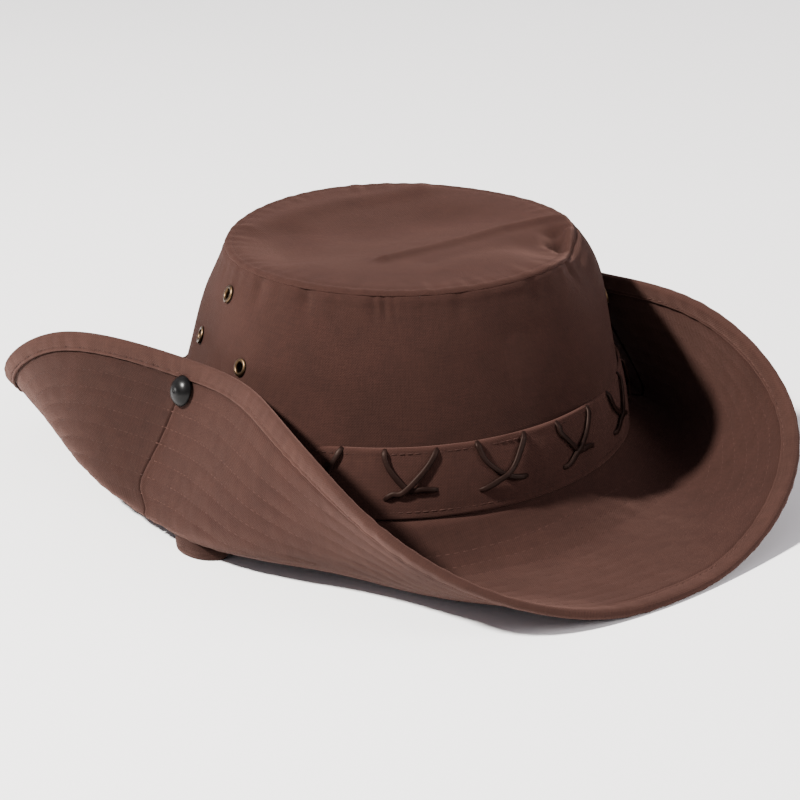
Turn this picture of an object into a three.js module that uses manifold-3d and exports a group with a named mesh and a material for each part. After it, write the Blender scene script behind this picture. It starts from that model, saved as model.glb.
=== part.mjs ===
import * as THREE from 'three';
import { mergeVertices } from 'three/addons/utils/BufferGeometryUtils.js';
import Module from 'manifold-3d';

// A bush hat with both sides of its brim snapped up. Millimetres, +Z up.
// The front faces -Y. Left and right are as seen from the front, so the left is -X.
// Headings go round the hat in degrees from the front (0) over +X (90) to the back (180).

// Crown
const HEAD_LENGTH = 208;
const HEAD_WIDTH = 175;
const TOP_LENGTH = 158;
const TOP_WIDTH = 132;
const CROWN_HEIGHT = 77.5;
const CROWN_BULGE = 2.5;
const HEAD_SIDE_RISE = 1.9;
const TOP_LEAN_RIGHT = 9;
const TOP_LEAN_FRONT = 3.4;
const TOP_FALL_RIGHT = 2;
const TOP_FALL_FRONT = 2.7;
const CROWN_CLOTH = 1.6;
const CROWN_FOOT = 1.4;

// Brim
const BRIM_WIDTH = 88;
const BRIM_CLOTH = 2;
const BINDING_WIDTH = 7.5;
const BINDING_CLOTH = 0.8;
const REST_DEPTH = 17.2;
const GAP = 0.3;

// Band and lacing
const BAND_HEIGHT = 24.5;
const BAND_CLOTH = 1.4;
const LACE_COUNT = 16;
const LACE_START = 0.8;
const LACE_HALF_SPREAD = 9.7;
const LACE_TOP = 24.3;
const LACE_WIDTH = 3;
const LACE_THICK = 1.2;

// Vent eyelets
const EYELET_RADIUS = 3.5;
const EYELET_HOLE = 1.9;
const EYELET_BARREL = 2.3;
const VENT_HIGH = 0.871 * CROWN_HEIGHT;
const VENT_LOW = 0.597 * CROWN_HEIGHT;
const VENT_SPREAD = 15.9;
const VENT_HEADINGS = { right: 90, left: 271.4 };

// Snaps
const SNAP_RADIUS = 6;
const SNAP_POST = 2;
const SNAP_FROM_EDGE = 12.2;
const SNAP_CLEAR = 0.95;
const SNAP_REACH = 30;
const SNAP_HEADINGS = { right: 90, left: 272 };
const STUD_RADIUS = 3.8;

// Keeper loop under the fold
const KEEPER_HEADING = 289;
const KEEPER_REACH = 0.2 * BRIM_WIDTH;
const KEEPER_HALF_SPAN = 0.185 * BRIM_WIDTH;
const KEEPER_CLOTH = 2.2;
const KEEPER_INSET = 3;
const KEEPER_END_HALF = 1.9;
const KEEPER_MIDDLE_GAIN = 2;
const KEEPER_DROP = 4;

// The brim's section at each heading is one smooth curve from the head opening to the edge.
// Lengths are shares of BRIM_WIDTH: out and up from the head opening, and the edge's swing round the hat.
const BRIM_SECTIONS = [
  { heading: 0, nearOut: 0.20, nearUp: -0.30, farOut: 0.63, farUp: -0.18,
    edgeOut: 0.94, edgeUp: -0.15, swing: 0.02 },
  { heading: 22.5, nearOut: 0.23, nearUp: -0.34, farOut: 0.61, farUp: -0.17,
    edgeOut: 0.89, edgeUp: -0.12, swing: 0.04 },
  { heading: 45, nearOut: 0.30, nearUp: -0.45, farOut: 0.64, farUp: 0.04,
    edgeOut: 0.78, edgeUp: 0.19, swing: -0.06 },
  { heading: 67.5, nearOut: 0.40, nearUp: -0.41, farOut: 0.39, farUp: 0.18,
    edgeOut: 0.33, edgeUp: 0.51, swing: -0.14 },
  { heading: 90, nearOut: 0.48, nearUp: -0.34, farOut: 0.15, farUp: 0.07,
    edgeOut: 0.02, edgeUp: 0.52, swing: 0.03 },
  { heading: 112.5, nearOut: 0.51, nearUp: -0.22, farOut: 0.43, farUp: -0.08,
    edgeOut: 0.42, edgeUp: 0.44, swing: 0.13 },
  { heading: 135, nearOut: 0.45, nearUp: -0.16, farOut: 0.58, farUp: -0.22,
    edgeOut: 0.88, edgeUp: 0.16, swing: 0.03 },
  { heading: 157.5, nearOut: 0.38, nearUp: -0.12, farOut: 0.59, farUp: -0.30,
    edgeOut: 0.95, edgeUp: -0.13, swing: 0.01 },
  { heading: 180, nearOut: 0.35, nearUp: -0.11, farOut: 0.60, farUp: -0.30,
    edgeOut: 0.96, edgeUp: -0.13, swing: 0.01 },
  { heading: 202.5, nearOut: 0.38, nearUp: -0.12, farOut: 0.59, farUp: -0.30,
    edgeOut: 0.95, edgeUp: -0.13, swing: 0.02 },
  { heading: 225, nearOut: 0.45, nearUp: -0.13, farOut: 0.61, farUp: -0.21,
    edgeOut: 0.90, edgeUp: 0.17, swing: -0.01 },
  { heading: 247.5, nearOut: 0.53, nearUp: -0.20, farOut: 0.44, farUp: -0.09,
    edgeOut: 0.43, edgeUp: 0.52, swing: -0.13 },
  { heading: 270, nearOut: 0.48, nearUp: -0.32, farOut: 0.06, farUp: 0.02,
    edgeOut: -0.06, edgeUp: 0.52, swing: 0.04 },
  { heading: 292.5, nearOut: 0.35, nearUp: -0.36, farOut: 0.25, farUp: 0.09,
    edgeOut: -0.01, edgeUp: 0.51, swing: 0.26 },
  { heading: 315, nearOut: 0.25, nearUp: -0.33, farOut: 0.38, farUp: 0.05,
    edgeOut: 0.45, edgeUp: 0.42, swing: 0.34 },
  { heading: 337.5, nearOut: 0.17, nearUp: -0.34, farOut: 0.48, farUp: -0.14,
    edgeOut: 0.84, edgeUp: 0.15, swing: 0.14 },
];

// Soft hollows of the crown: where they sit and how far they push the cloth.
// Places are shares of half the head's width, half its length and the crown's height. Pushes are in mm.
const HOLLOWS = [
  { right: -0.12, back: 0.15, up: 1.00, reach: 0.36, pushRight: 0, pushBack: 0, pushUp: -4.5 },
  { right: 0.36, back: 0.20, up: 1.00, reach: 0.34, pushRight: 0, pushBack: 0, pushUp: -4.5 },
  { right: 0.64, back: -0.46, up: 0.98, reach: 0.17, pushRight: -3, pushBack: 2, pushUp: -4 },
];

// Each lace cross: two thongs that start at the band's top edge and cross low.
// Places are shares of LACE_HALF_SPREAD sideways and of LACE_TOP upward.
const LACE_ARMS = [
  [{ side: -1, up: 1 }, { side: -0.67, up: 0.7 }, { side: -0.05, up: 0.45 }, { side: 1, up: 0.35 }],
  [{ side: 1, up: 1 }, { side: 0.34, up: 0.58 }, { side: -0.26, up: 0.4 }, { side: -0.96, up: 0.27 }],
];

const AROUND_BRIM = 64;
const AROUND_CROWN = 48;
const BRIM_STEPS = 10;
const radians = Math.PI / 180;

const wasm = await Module();
wasm.setup();

// Colours from the photograph
const canvas = { color: 0x6e4a40, roughness: 0.92, metalness: 0 };
const canvasDark = { color: 0x5f3f36, roughness: 0.94, metalness: 0 };
const leather = { color: 0x3a2419, roughness: 0.6, metalness: 0 };
const brass = { color: 0x8a6a3c, roughness: 0.42, metalness: 1 };
const gunmetal = { color: 0x2b2a2c, roughness: 0.35, metalness: 1 };

const hat = new THREE.Group();

// A smooth closed curve through equally spaced values round the hat
function aroundCurve(values) {
  const n = values.length;
  const bend = new Array(n).fill(0);
  for (let pass = 0; pass < 40; pass += 1) {
    for (let i = 0; i < n; i += 1) {
      const before = (i + n - 1) % n;
      const after = (i + 1) % n;
      const want = 6 * (values[before] - 2 * values[i] + values[after]);
      bend[i] = (want - bend[before] - bend[after]) / 4;
    }
  }
  return (heading) => {
    const place = (heading / 360) * n;
    const low = Math.floor(place);
    const f = place - low;
    const i = ((low % n) + n) % n;
    const j = (i + 1) % n;
    const g = 1 - f;
    return values[i] * g + values[j] * f + ((g ** 3 - g) * bend[i] + (f ** 3 - f) * bend[j]) / 6;
  };
}

const sectionCurves = {};
for (const column of ['nearOut', 'nearUp', 'farOut', 'farUp', 'edgeOut', 'edgeUp', 'swing']) {
  sectionCurves[column] = aroundCurve(BRIM_SECTIONS.map((row) => row[column] * BRIM_WIDTH));
}

// The seam between crown and brim
function headPoint(heading) {
  const a = heading * radians;
  const rise = HEAD_SIDE_RISE * Math.sin(a) ** 2;
  return new THREE.Vector3((HEAD_WIDTH / 2) * Math.sin(a), (-HEAD_LENGTH / 2) * Math.cos(a), rise);
}

function headOutward(heading) {
  const a = heading * radians;
  return new THREE.Vector3(HEAD_LENGTH * Math.sin(a), -HEAD_WIDTH * Math.cos(a), 0).normalize();
}

function hollowed(point) {
  const moved = point.clone();
  for (const row of HOLLOWS) {
    const dx = point.x - (row.right * HEAD_WIDTH) / 2;
    const dy = point.y - (row.back * HEAD_LENGTH) / 2;
    const dz = point.z - row.up * CROWN_HEIGHT;
    const reach = (row.reach * HEAD_LENGTH) / 2;
    const share = Math.exp(-(dx * dx + dy * dy + dz * dz) / (reach * reach));
    moved.x += row.pushRight * share;
    moved.y += row.pushBack * share;
    moved.z += row.pushUp * share;
  }
  return moved;
}

// The top seam's plane leans a little with the soft cloth
function topPoint(heading, share) {
  const a = heading * radians;
  const x = share * (TOP_WIDTH / 2) * Math.sin(a) + TOP_LEAN_RIGHT;
  const y = -share * (TOP_LENGTH / 2) * Math.cos(a) - TOP_LEAN_FRONT;
  const fall = -share * (TOP_FALL_RIGHT * Math.sin(a) + TOP_FALL_FRONT * Math.cos(a));
  return new THREE.Vector3(x, y, CROWN_HEIGHT + fall);
}

// Side wall: height is a share of the way up, offset is how far outside the wall's outer face
function crownPoint(heading, height, offset) {
  const a = heading * radians;
  const point = headPoint(heading).lerp(topPoint(heading, 1), height);
  const outward = new THREE.Vector3(Math.sin(a), -Math.cos(a), 0);
  point.addScaledVector(outward, CROWN_BULGE * 4 * height * (1 - height) + offset);
  return hollowed(point);
}

function crownFrame(heading, height) {
  const step = 0.5;
  const sideways = crownPoint(heading + step, height, 0).sub(crownPoint(heading - step, height, 0));
  const upward = crownPoint(heading, height + 0.01, 0).sub(crownPoint(heading, height - 0.01, 0));
  const outward = new THREE.Vector3().crossVectors(sideways, upward).normalize();
  return { at: crownPoint(heading, height, 0), outward };
}

// Middle of the brim's cloth at a share of the curve
function brimMiddle(heading, s) {
  const value = (column) => sectionCurves[column](heading);
  const r = 1 - s;
  const root = -CROWN_CLOTH / 2;
  const out = r ** 3 * root + 3 * s * r * r * value('nearOut') + 3 * s * s * r * value('farOut')
    + s ** 3 * value('edgeOut');
  const up = 3 * s * r * r * value('nearUp') + 3 * s * s * r * value('farUp') + s ** 3 * value('edgeUp');
  const outward = headOutward(heading);
  const along = new THREE.Vector3(-outward.y, outward.x, 0);
  const point = headPoint(heading);
  point.addScaledVector(outward, out);
  point.addScaledVector(along, s * s * value('swing'));
  point.z += up;
  return point;
}

// Where on the curve a length from the edge falls, so that the binding keeps its width
function brimLengths(heading) {
  const steps = 60;
  const lengths = [0];
  let last = brimMiddle(heading, 0);
  for (let i = 1; i <= steps; i += 1) {
    const next = brimMiddle(heading, i / steps);
    lengths.push(lengths[i - 1] + next.distanceTo(last));
    last = next;
  }
  const whole = lengths[steps];
  const at = (length) => {
    let i = 1;
    while (i < steps && lengths[i] < length) {
      i += 1;
    }
    return (i - 1 + (length - lengths[i - 1]) / (lengths[i] - lengths[i - 1])) / steps;
  };
  return { whole, at };
}

// The cloth lies flat on the ground where it would pass below it
function restedBrim(heading, s, half) {
  const point = brimMiddle(heading, s);
  point.z = Math.max(point.z, half - REST_DEPTH);
  return point;
}

function brimPoint(heading, s, offset, half) {
  const ds = 0.004;
  const dh = 0.4;
  const low = Math.max(s - ds, 0);
  const high = Math.min(s + ds, 1);
  const along = restedBrim(heading, high, half).sub(restedBrim(heading, low, half));
  const around = restedBrim(heading + dh, s, half).sub(restedBrim(heading - dh, s, half));
  const normal = new THREE.Vector3().crossVectors(along, around).normalize();
  return restedBrim(heading, s, half).addScaledVector(normal, offset);
}

function bodyFrom(points, triangles) {
  const geometry = new THREE.BufferGeometry();
  const positions = new Float32Array(points.length * 3);
  points.forEach((point, i) => point.toArray(positions, i * 3));
  let volume = 0;
  for (const [a, b, c] of triangles) {
    volume += points[a].dot(new THREE.Vector3().crossVectors(points[b], points[c]));
  }
  const index = [];
  for (const [a, b, c] of triangles) {
    index.push(a, volume > 0 ? b : c, volume > 0 ? c : b);
  }
  geometry.setAttribute('position', new THREE.BufferAttribute(positions, 3));
  geometry.setIndex(index);
  return geometry;
}

// A closed section carried right round the hat
function ringBody(count, section) {
  const rings = [];
  for (let i = 0; i < count; i += 1) {
    rings.push(section((i * 360) / count));
  }
  const n = rings[0].length;
  const points = rings.flat();
  const triangles = [];
  for (let i = 0; i < count; i += 1) {
    const next = (i + 1) % count;
    for (let j = 0; j < n; j += 1) {
      const after = (j + 1) % n;
      const [a, b, c, d] = [i * n + j, next * n + j, next * n + after, i * n + after];
      // Each four-sided patch is split along its shorter diagonal, so that nested pieces bend alike
      if (points[a].distanceTo(points[c]) < points[b].distanceTo(points[d])) {
        triangles.push([a, b, c], [a, c, d]);
      } else {
        triangles.push([a, b, d], [b, c, d]);
      }
    }
  }
  return bodyFrom(points, triangles);
}

// A closed section carried along an open path, with flat ends
function runBody(sections) {
  const n = sections[0].length;
  const triangles = [];
  for (let i = 0; i + 1 < sections.length; i += 1) {
    for (let j = 0; j < n; j += 1) {
      const after = (j + 1) % n;
      triangles.push([i * n + j, (i + 1) * n + j, (i + 1) * n + after]);
      triangles.push([i * n + j, (i + 1) * n + after, i * n + after]);
    }
  }
  const last = (sections.length - 1) * n;
  for (let j = 1; j + 1 < n; j += 1) {
    triangles.push([0, j, j + 1]);
    triangles.push([last, last + j + 1, last + j]);
  }
  return bodyFrom(sections.flat(), triangles);
}

function solidFrom(source) {
  const bare = source.clone();
  bare.deleteAttribute('normal');
  bare.deleteAttribute('uv');
  const merged = mergeVertices(bare, 1e-4);
  const kept = [];
  for (let i = 0; i < merged.index.count; i += 3) {
    const [a, b, c] = [0, 1, 2].map((k) => merged.index.getX(i + k));
    if (a !== b && b !== c && c !== a) {
      kept.push(a, b, c);
    }
  }
  return new wasm.Manifold(new wasm.Mesh({
    numProp: 3,
    vertProperties: Float32Array.from(merged.attributes.position.array),
    triVerts: Uint32Array.from(kept),
  }));
}

function geometryFrom(solid) {
  const mesh = solid.getMesh();
  const geometry = new THREE.BufferGeometry();
  geometry.setAttribute('position', new THREE.BufferAttribute(Float32Array.from(mesh.vertProperties), 3));
  geometry.setIndex(Array.from(mesh.triVerts));
  return geometry;
}

function turnedPiece(profile, sides, at, axis) {
  const geometry = new THREE.LatheGeometry(profile.map(([r, y]) => new THREE.Vector2(r, y)), sides);
  const turn = new THREE.Quaternion().setFromUnitVectors(new THREE.Vector3(0, 1, 0), axis);
  geometry.applyQuaternion(turn);
  geometry.translate(at.x, at.y, at.z);
  return geometry;
}

function drill(radius, length, at, axis) {
  const geometry = new THREE.CylinderGeometry(radius, radius, length, 12);
  const turn = new THREE.Quaternion().setFromUnitVectors(new THREE.Vector3(0, 1, 0), axis);
  geometry.applyQuaternion(turn);
  geometry.translate(at.x, at.y, at.z);
  return solidFrom(geometry);
}

const pieces = [];
function addPiece(name, geometry, look) {
  pieces.push({ name, geometry, look });
}

// Vent eyelets: a triangle of three on each side of the crown
const vents = [];
for (const [sideName, middle] of Object.entries(VENT_HEADINGS)) {
  vents.push({ name: `vent_eyelet_${sideName}_top`, heading: middle, height: VENT_HIGH / CROWN_HEIGHT });
  const height = VENT_LOW / CROWN_HEIGHT;
  vents.push({ name: `vent_eyelet_${sideName}_a`, heading: middle - VENT_SPREAD, height });
  vents.push({ name: `vent_eyelet_${sideName}_b`, heading: middle + VENT_SPREAD, height });
}

// Crown side wall
const footShare = CROWN_FOOT / CROWN_HEIGHT;
const sideHeights = [footShare, 0.2, 0.42, 0.66, 0.86, 1];
const sideGeometry = ringBody(AROUND_CROWN, (heading) => {
  const outer = sideHeights.map((height) => crownPoint(heading, height, 0));
  const inner = [...sideHeights].reverse().map((height) => crownPoint(heading, height, -CROWN_CLOTH));
  return [...outer, ...inner];
});
let crownSolid = solidFrom(sideGeometry);
for (const vent of vents) {
  const frame = crownFrame(vent.heading, vent.height);
  crownSolid = crownSolid.subtract(drill(EYELET_BARREL + GAP, 12, frame.at, frame.outward));
}
addPiece('crown_side', geometryFrom(crownSolid), canvas);

// Crown top: one oval panel sewn on the wall
const topShares = [1, 0.97, 0.82, 0.6, 0.32];
const lidPoints = [];
const lidRings = [];
for (const [level, shares] of [[GAP, topShares], [GAP + CROWN_CLOTH, topShares]]) {
  for (const share of shares) {
    lidRings.push(lidPoints.length);
    for (let i = 0; i < AROUND_CROWN; i += 1) {
      const point = topPoint((i * 360) / AROUND_CROWN, share);
      point.z += share === 1 ? Math.min(level, GAP + CROWN_CLOTH / 2) : level;
      lidPoints.push(hollowed(point));
    }
  }
}
const lidMiddles = [GAP, GAP + CROWN_CLOTH].map((level) => {
  const point = topPoint(0, 0);
  point.z += level;
  lidPoints.push(hollowed(point));
  return lidPoints.length - 1;
});
const lidTriangles = [];
const ringsEach = topShares.length;
function joinRings(first, second) {
  for (let i = 0; i < AROUND_CROWN; i += 1) {
    const next = (i + 1) % AROUND_CROWN;
    lidTriangles.push([first + i, first + next, second + next]);
    lidTriangles.push([first + i, second + next, second + i]);
  }
}
for (let k = 0; k + 1 < ringsEach; k += 1) {
  joinRings(lidRings[k + 1], lidRings[k]);
  joinRings(lidRings[ringsEach + k], lidRings[ringsEach + k + 1]);
}
joinRings(lidRings[0], lidRings[ringsEach]);
for (let i = 0; i < AROUND_CROWN; i += 1) {
  const next = (i + 1) % AROUND_CROWN;
  const low = lidRings[ringsEach - 1];
  const high = lidRings[2 * ringsEach - 1];
  lidTriangles.push([low + next, low + i, lidMiddles[0]]);
  lidTriangles.push([high + i, high + next, lidMiddles[1]]);
}
addPiece('crown_top', bodyFrom(lidPoints, lidTriangles), canvas);

// Band round the foot of the crown
const bandFoot = (CROWN_FOOT + GAP) / CROWN_HEIGHT;
const bandHead = bandFoot + BAND_HEIGHT / CROWN_HEIGHT;
const bandFace = GAP + BAND_CLOTH;
addPiece('hat_band', ringBody(AROUND_CROWN, (heading) => {
  const heights = [bandFoot, (bandFoot + bandHead) / 2, bandHead];
  const inner = heights.map((height) => crownPoint(heading, height, GAP));
  const outer = [...heights].reverse().map((height) => crownPoint(heading, height, bandFace));
  return [...inner, ...outer];
}), canvasDark);

// Lace crosses on the band
function thong(path) {
  const left = [];
  const right = [];
  path.forEach((point, i) => {
    const before = path[Math.max(i - 1, 0)];
    const after = path[Math.min(i + 1, path.length - 1)];
    const along = new THREE.Vector2(after.x - before.x, after.y - before.y).normalize();
    const across = new THREE.Vector2(-along.y, along.x).multiplyScalar(LACE_WIDTH / 2);
    left.push(point.clone().add(across));
    right.unshift(point.clone().sub(across));
  });
  const outline = new THREE.Shape([...left, ...right]);
  return new THREE.ExtrudeGeometry(outline, { depth: LACE_THICK, bevelEnabled: false });
}
for (let k = 0; k < LACE_COUNT; k += 1) {
  const heading = LACE_START + (k * 360) / LACE_COUNT;
  const ahead = crownPoint(heading + 0.5, 0.2, bandFace);
  const perDegree = ahead.distanceTo(crownPoint(heading - 0.5, 0.2, bandFace));
  const arms = LACE_ARMS.map((arm) => solidFrom(thong(
    arm.map((row) => new THREE.Vector2(row.side * LACE_HALF_SPREAD, row.up * LACE_TOP)),
  )));
  const cross = geometryFrom(arms[0].add(arms[1]));
  const spots = cross.attributes.position;
  for (let i = 0; i < spots.count; i += 1) {
    const place = crownPoint(
      heading + spots.getX(i) / perDegree,
      (CROWN_FOOT + spots.getY(i)) / CROWN_HEIGHT,
      bandFace + GAP + 0.05 + spots.getZ(i),
    );
    spots.setXYZ(i, place.x, place.y, place.z);
  }
  addPiece(`lace_cross_${String(k + 1).padStart(2, '0')}`, cross, leather);
}

// Brim sheet, thinner where the binding wraps it
const half = BRIM_CLOTH / 2;
const bindingHalf = half - BINDING_CLOTH / 2 + GAP + BINDING_CLOTH;
const tongueHalf = half - BINDING_CLOTH / 2;
function halfAt(fromEdge) {
  const share = THREE.MathUtils.smoothstep(fromEdge, BINDING_WIDTH + 1, BINDING_WIDTH + 12);
  return bindingHalf + (half - bindingHalf) * share;
}
function sheetPoint(heading, lengths, fromEdge, offset) {
  return brimPoint(heading, Math.min(lengths.at(lengths.whole - fromEdge), 1), offset, halfAt(fromEdge));
}
const sheetGeometry = ringBody(AROUND_BRIM, (heading) => {
  const lengths = brimLengths(heading);
  const inside = lengths.whole - BINDING_WIDTH - GAP;
  const places = [];
  for (let i = 0; i <= BRIM_STEPS; i += 1) {
    places.push(lengths.whole - (inside * i) / BRIM_STEPS);
  }
  const top = places.map((fromEdge) => sheetPoint(heading, lengths, fromEdge, half));
  const under = [...places].reverse().map((fromEdge) => sheetPoint(heading, lengths, fromEdge, -half));
  const step = BINDING_WIDTH + GAP;
  const tip = BINDING_CLOTH + GAP;
  return [
    ...top,
    sheetPoint(heading, lengths, step, tongueHalf),
    sheetPoint(heading, lengths, tip, tongueHalf),
    sheetPoint(heading, lengths, tip, -tongueHalf),
    sheetPoint(heading, lengths, step, -tongueHalf),
    ...under,
  ];
});

// Snaps, one on each side: cap and socket through the brim, stud on the crown
let brimSolid = solidFrom(sheetGeometry);
function snapFrame(heading) {
  const lengths = brimLengths(heading);
  const s = lengths.at(lengths.whole - SNAP_FROM_EDGE);
  const at = brimPoint(heading, s, 0, half);
  const towardCrown = brimPoint(heading, s, 1, half).sub(at).normalize();
  return { at, towardCrown };
}
// Where a snap's axis meets the crown's wall
function crownFacing(at, axis) {
  const line = new THREE.Ray(at, axis);
  let best = { distance: Infinity };
  for (let heading = 0; heading < 360; heading += 0.5) {
    for (let height = 0.3; height < 0.8; height += 0.005) {
      const point = crownPoint(heading, height, 0);
      const distance = line.distanceSqToPoint(point);
      if (distance < best.distance && point.distanceTo(at) < SNAP_REACH) {
        best = { distance, heading, height };
      }
    }
  }
  return best;
}
for (const [sideName, heading] of Object.entries(SNAP_HEADINGS)) {
  const { at, towardCrown } = snapFrame(heading);
  const outward = towardCrown.clone().negate();
  brimSolid = brimSolid.subtract(drill(SNAP_POST + GAP, 8, at, outward));
  const face = half + GAP + SNAP_CLEAR;
  const cap = turnedPiece([
    [0, face + 3.3], [2.4, face + 3.05], [4.4, face + 2.3], [5.5, face + 1.1], [SNAP_RADIUS, face],
    [SNAP_POST, face], [SNAP_POST, -face], [4.5, -face], [4.5, -face - 1.9], [3.3, -face - 1.9],
    [3.3, -face - 0.7], [0, -face - 0.7],
  ].reverse(), 16, at, outward);
  addPiece(`snap_cap_${sideName}`, geometryFrom(solidFrom(cap)), gunmetal);
  const seat = crownFacing(at, towardCrown);
  const clearOfBand = bandHead + (STUD_RADIUS + 2 * GAP) / CROWN_HEIGHT;
  const wall = crownFrame(seat.heading, Math.max(seat.height, clearOfBand));
  const plate = turnedPiece([
    [0, 1.5], [STUD_RADIUS - 0.2, 1.5], [STUD_RADIUS, 1.2], [STUD_RADIUS, 0.35], [0, 0.35],
  ].reverse(), 16, wall.at, wall.outward);
  const plateTop = wall.at.clone().addScaledVector(wall.outward, 0.8);
  const knob = at.clone().addScaledVector(towardCrown, face + 1.6);
  const reach = plateTop.distanceTo(knob);
  const lean = knob.clone().sub(plateTop).normalize();
  const post = turnedPiece([
    [0, reach], [1.8, reach], [2, reach - 0.5], [1.4, reach - 1.2], [1.4, 0], [0, 0],
  ].reverse(), 12, plateTop, lean);
  addPiece(`snap_stud_${sideName}`, geometryFrom(solidFrom(plate).add(solidFrom(post))), gunmetal);
}
addPiece('brim', geometryFrom(brimSolid), canvas);

// Binding wrapped round the brim's edge
addPiece('brim_binding', ringBody(AROUND_BRIM, (heading) => {
  const lengths = brimLengths(heading);
  const inner = tongueHalf + GAP;
  const round = bindingHalf * 0.55;
  return [
    [BINDING_WIDTH, inner], [BINDING_WIDTH, bindingHalf - 0.1], [1.2, bindingHalf], [0, round],
    [0, -round], [1.2, -bindingHalf], [BINDING_WIDTH, 0.1 - bindingHalf], [BINDING_WIDTH, -inner],
    [BINDING_CLOTH, -inner], [BINDING_CLOTH, inner],
  ].map(([fromEdge, offset]) => sheetPoint(heading, lengths, fromEdge, offset));
}), canvasDark);

// Eyelets in the drilled wall
for (const vent of vents) {
  const frame = crownFrame(vent.heading, vent.height);
  const back = -CROWN_CLOTH - GAP - 0.1;
  const face = GAP + 0.2;
  const ring = turnedPiece([
    [EYELET_HOLE, back - 0.5], [EYELET_RADIUS - 0.2, back - 0.5], [EYELET_RADIUS - 0.2, back],
    [EYELET_BARREL, back], [EYELET_BARREL, face], [EYELET_RADIUS, face],
    [EYELET_RADIUS - 0.4, face + 0.65], [EYELET_RADIUS - 1, face + 0.9],
    [EYELET_HOLE, face + 0.7], [EYELET_HOLE, back - 0.5],
  ], 10, frame.at, frame.outward);
  addPiece(vent.name, geometryFrom(solidFrom(ring)), brass);
}

// Keeper loop: a bowed strap from the head seam out under the fold and back
const keeperFoot = headPoint(KEEPER_HEADING);
const keeperOut = headOutward(KEEPER_HEADING);
const keeperAlong = new THREE.Vector3(-keeperOut.y, keeperOut.x, 0);
const keeperStations = 22;
const keeperSections = [];
function keeperPlace(share) {
  const a = share * 90 * radians;
  const side = KEEPER_HALF_SPAN * Math.sign(share) * Math.abs(Math.sin(a)) ** 0.8;
  const out = (KEEPER_REACH + KEEPER_INSET) * Math.cos(a) ** 0.8 - KEEPER_INSET;
  const tall = KEEPER_END_HALF + KEEPER_MIDDLE_GAIN * Math.cos(a) ** 6;
  const ground = GAP - REST_DEPTH + tall;
  const middle = Math.max(ground, -KEEPER_DROP - Math.max(out, 0));
  const place = keeperFoot.clone().addScaledVector(keeperOut, out).addScaledVector(keeperAlong, side);
  place.z = middle;
  return { place, tall };
}
for (let i = 0; i <= keeperStations; i += 1) {
  const share = (2 * i) / keeperStations - 1;
  const { place, tall } = keeperPlace(share);
  const before = keeperPlace(Math.max(share - 0.02, -1)).place;
  const after = keeperPlace(Math.min(share + 0.02, 1)).place;
  const along = after.sub(before).setZ(0).normalize();
  const across = new THREE.Vector3(along.y, -along.x, 0).multiplyScalar(KEEPER_CLOTH / 2);
  const corners = [[-1, -1], [1, -1], [1, 1], [-1, 1]];
  keeperSections.push(corners.map(([side, level]) => {
    const corner = place.clone().addScaledVector(across, side);
    corner.z += level * tall;
    return corner;
  }));
}
addPiece('keeper_loop', runBody(keeperSections), canvasDark);

// The hat stands on z = 0, with the middle of its outline over the origin
const box = new THREE.Box3();
for (const piece of pieces) {
  piece.geometry.computeBoundingBox();
  box.union(piece.geometry.boundingBox);
}
const middle = box.getCenter(new THREE.Vector3());
for (const piece of pieces) {
  piece.geometry.translate(-middle.x, -middle.y, REST_DEPTH);
  piece.geometry.computeVertexNormals();
  const mesh = new THREE.Mesh(piece.geometry, new THREE.MeshStandardMaterial(piece.look));
  mesh.name = piece.name;
  hat.add(mesh);
}

export default hat;
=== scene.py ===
import math

import bpy
import numpy as np
from mathutils import Matrix, Vector


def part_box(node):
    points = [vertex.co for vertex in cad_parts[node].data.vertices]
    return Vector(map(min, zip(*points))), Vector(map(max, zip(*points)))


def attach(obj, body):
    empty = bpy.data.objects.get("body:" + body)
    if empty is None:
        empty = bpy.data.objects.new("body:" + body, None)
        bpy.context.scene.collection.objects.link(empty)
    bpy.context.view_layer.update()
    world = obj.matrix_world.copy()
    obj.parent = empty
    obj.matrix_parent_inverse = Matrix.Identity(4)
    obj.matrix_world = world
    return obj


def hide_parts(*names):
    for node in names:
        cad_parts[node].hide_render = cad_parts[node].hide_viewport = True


# A brown canvas bush hat. Metres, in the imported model's frame: front -Y, up +Z.
# Headings go round the hat in degrees from the front (0) over +X (90) to the back (180).
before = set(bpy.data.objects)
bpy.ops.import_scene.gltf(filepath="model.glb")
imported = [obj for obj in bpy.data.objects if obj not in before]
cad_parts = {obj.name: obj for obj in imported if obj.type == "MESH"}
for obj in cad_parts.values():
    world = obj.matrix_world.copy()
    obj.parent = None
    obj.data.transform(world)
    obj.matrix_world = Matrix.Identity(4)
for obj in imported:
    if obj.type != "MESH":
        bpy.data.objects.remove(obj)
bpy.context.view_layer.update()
MM = 0.001

# Crown
HEAD_LENGTH = 208 * MM
HEAD_WIDTH = 175 * MM
TOP_LENGTH = 158 * MM
TOP_WIDTH = 132 * MM
CROWN_HEIGHT = 77.5 * MM
CROWN_BULGE = 2.5 * MM
HEAD_SIDE_RISE = 1.9 * MM
TOP_LEAN_RIGHT = 9 * MM
TOP_LEAN_FRONT = 3.4 * MM
TOP_FALL_RIGHT = 2 * MM
TOP_FALL_FRONT = 2.7 * MM
CROWN_CLOTH = 1.6 * MM
CROWN_FOOT = 1.4 * MM

# Brim
BRIM_WIDTH = 88 * MM
BRIM_CLOTH = 2 * MM
BINDING_WIDTH = 7.5 * MM
BINDING_CLOTH = 0.8 * MM
REST_DEPTH = 17.2 * MM
GAP = 0.3 * MM
STITCH_ROW_FIRST = 14.5 * MM
STITCH_ROW_STEP = 6.8 * MM
STITCH_ROWS = 10

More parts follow.
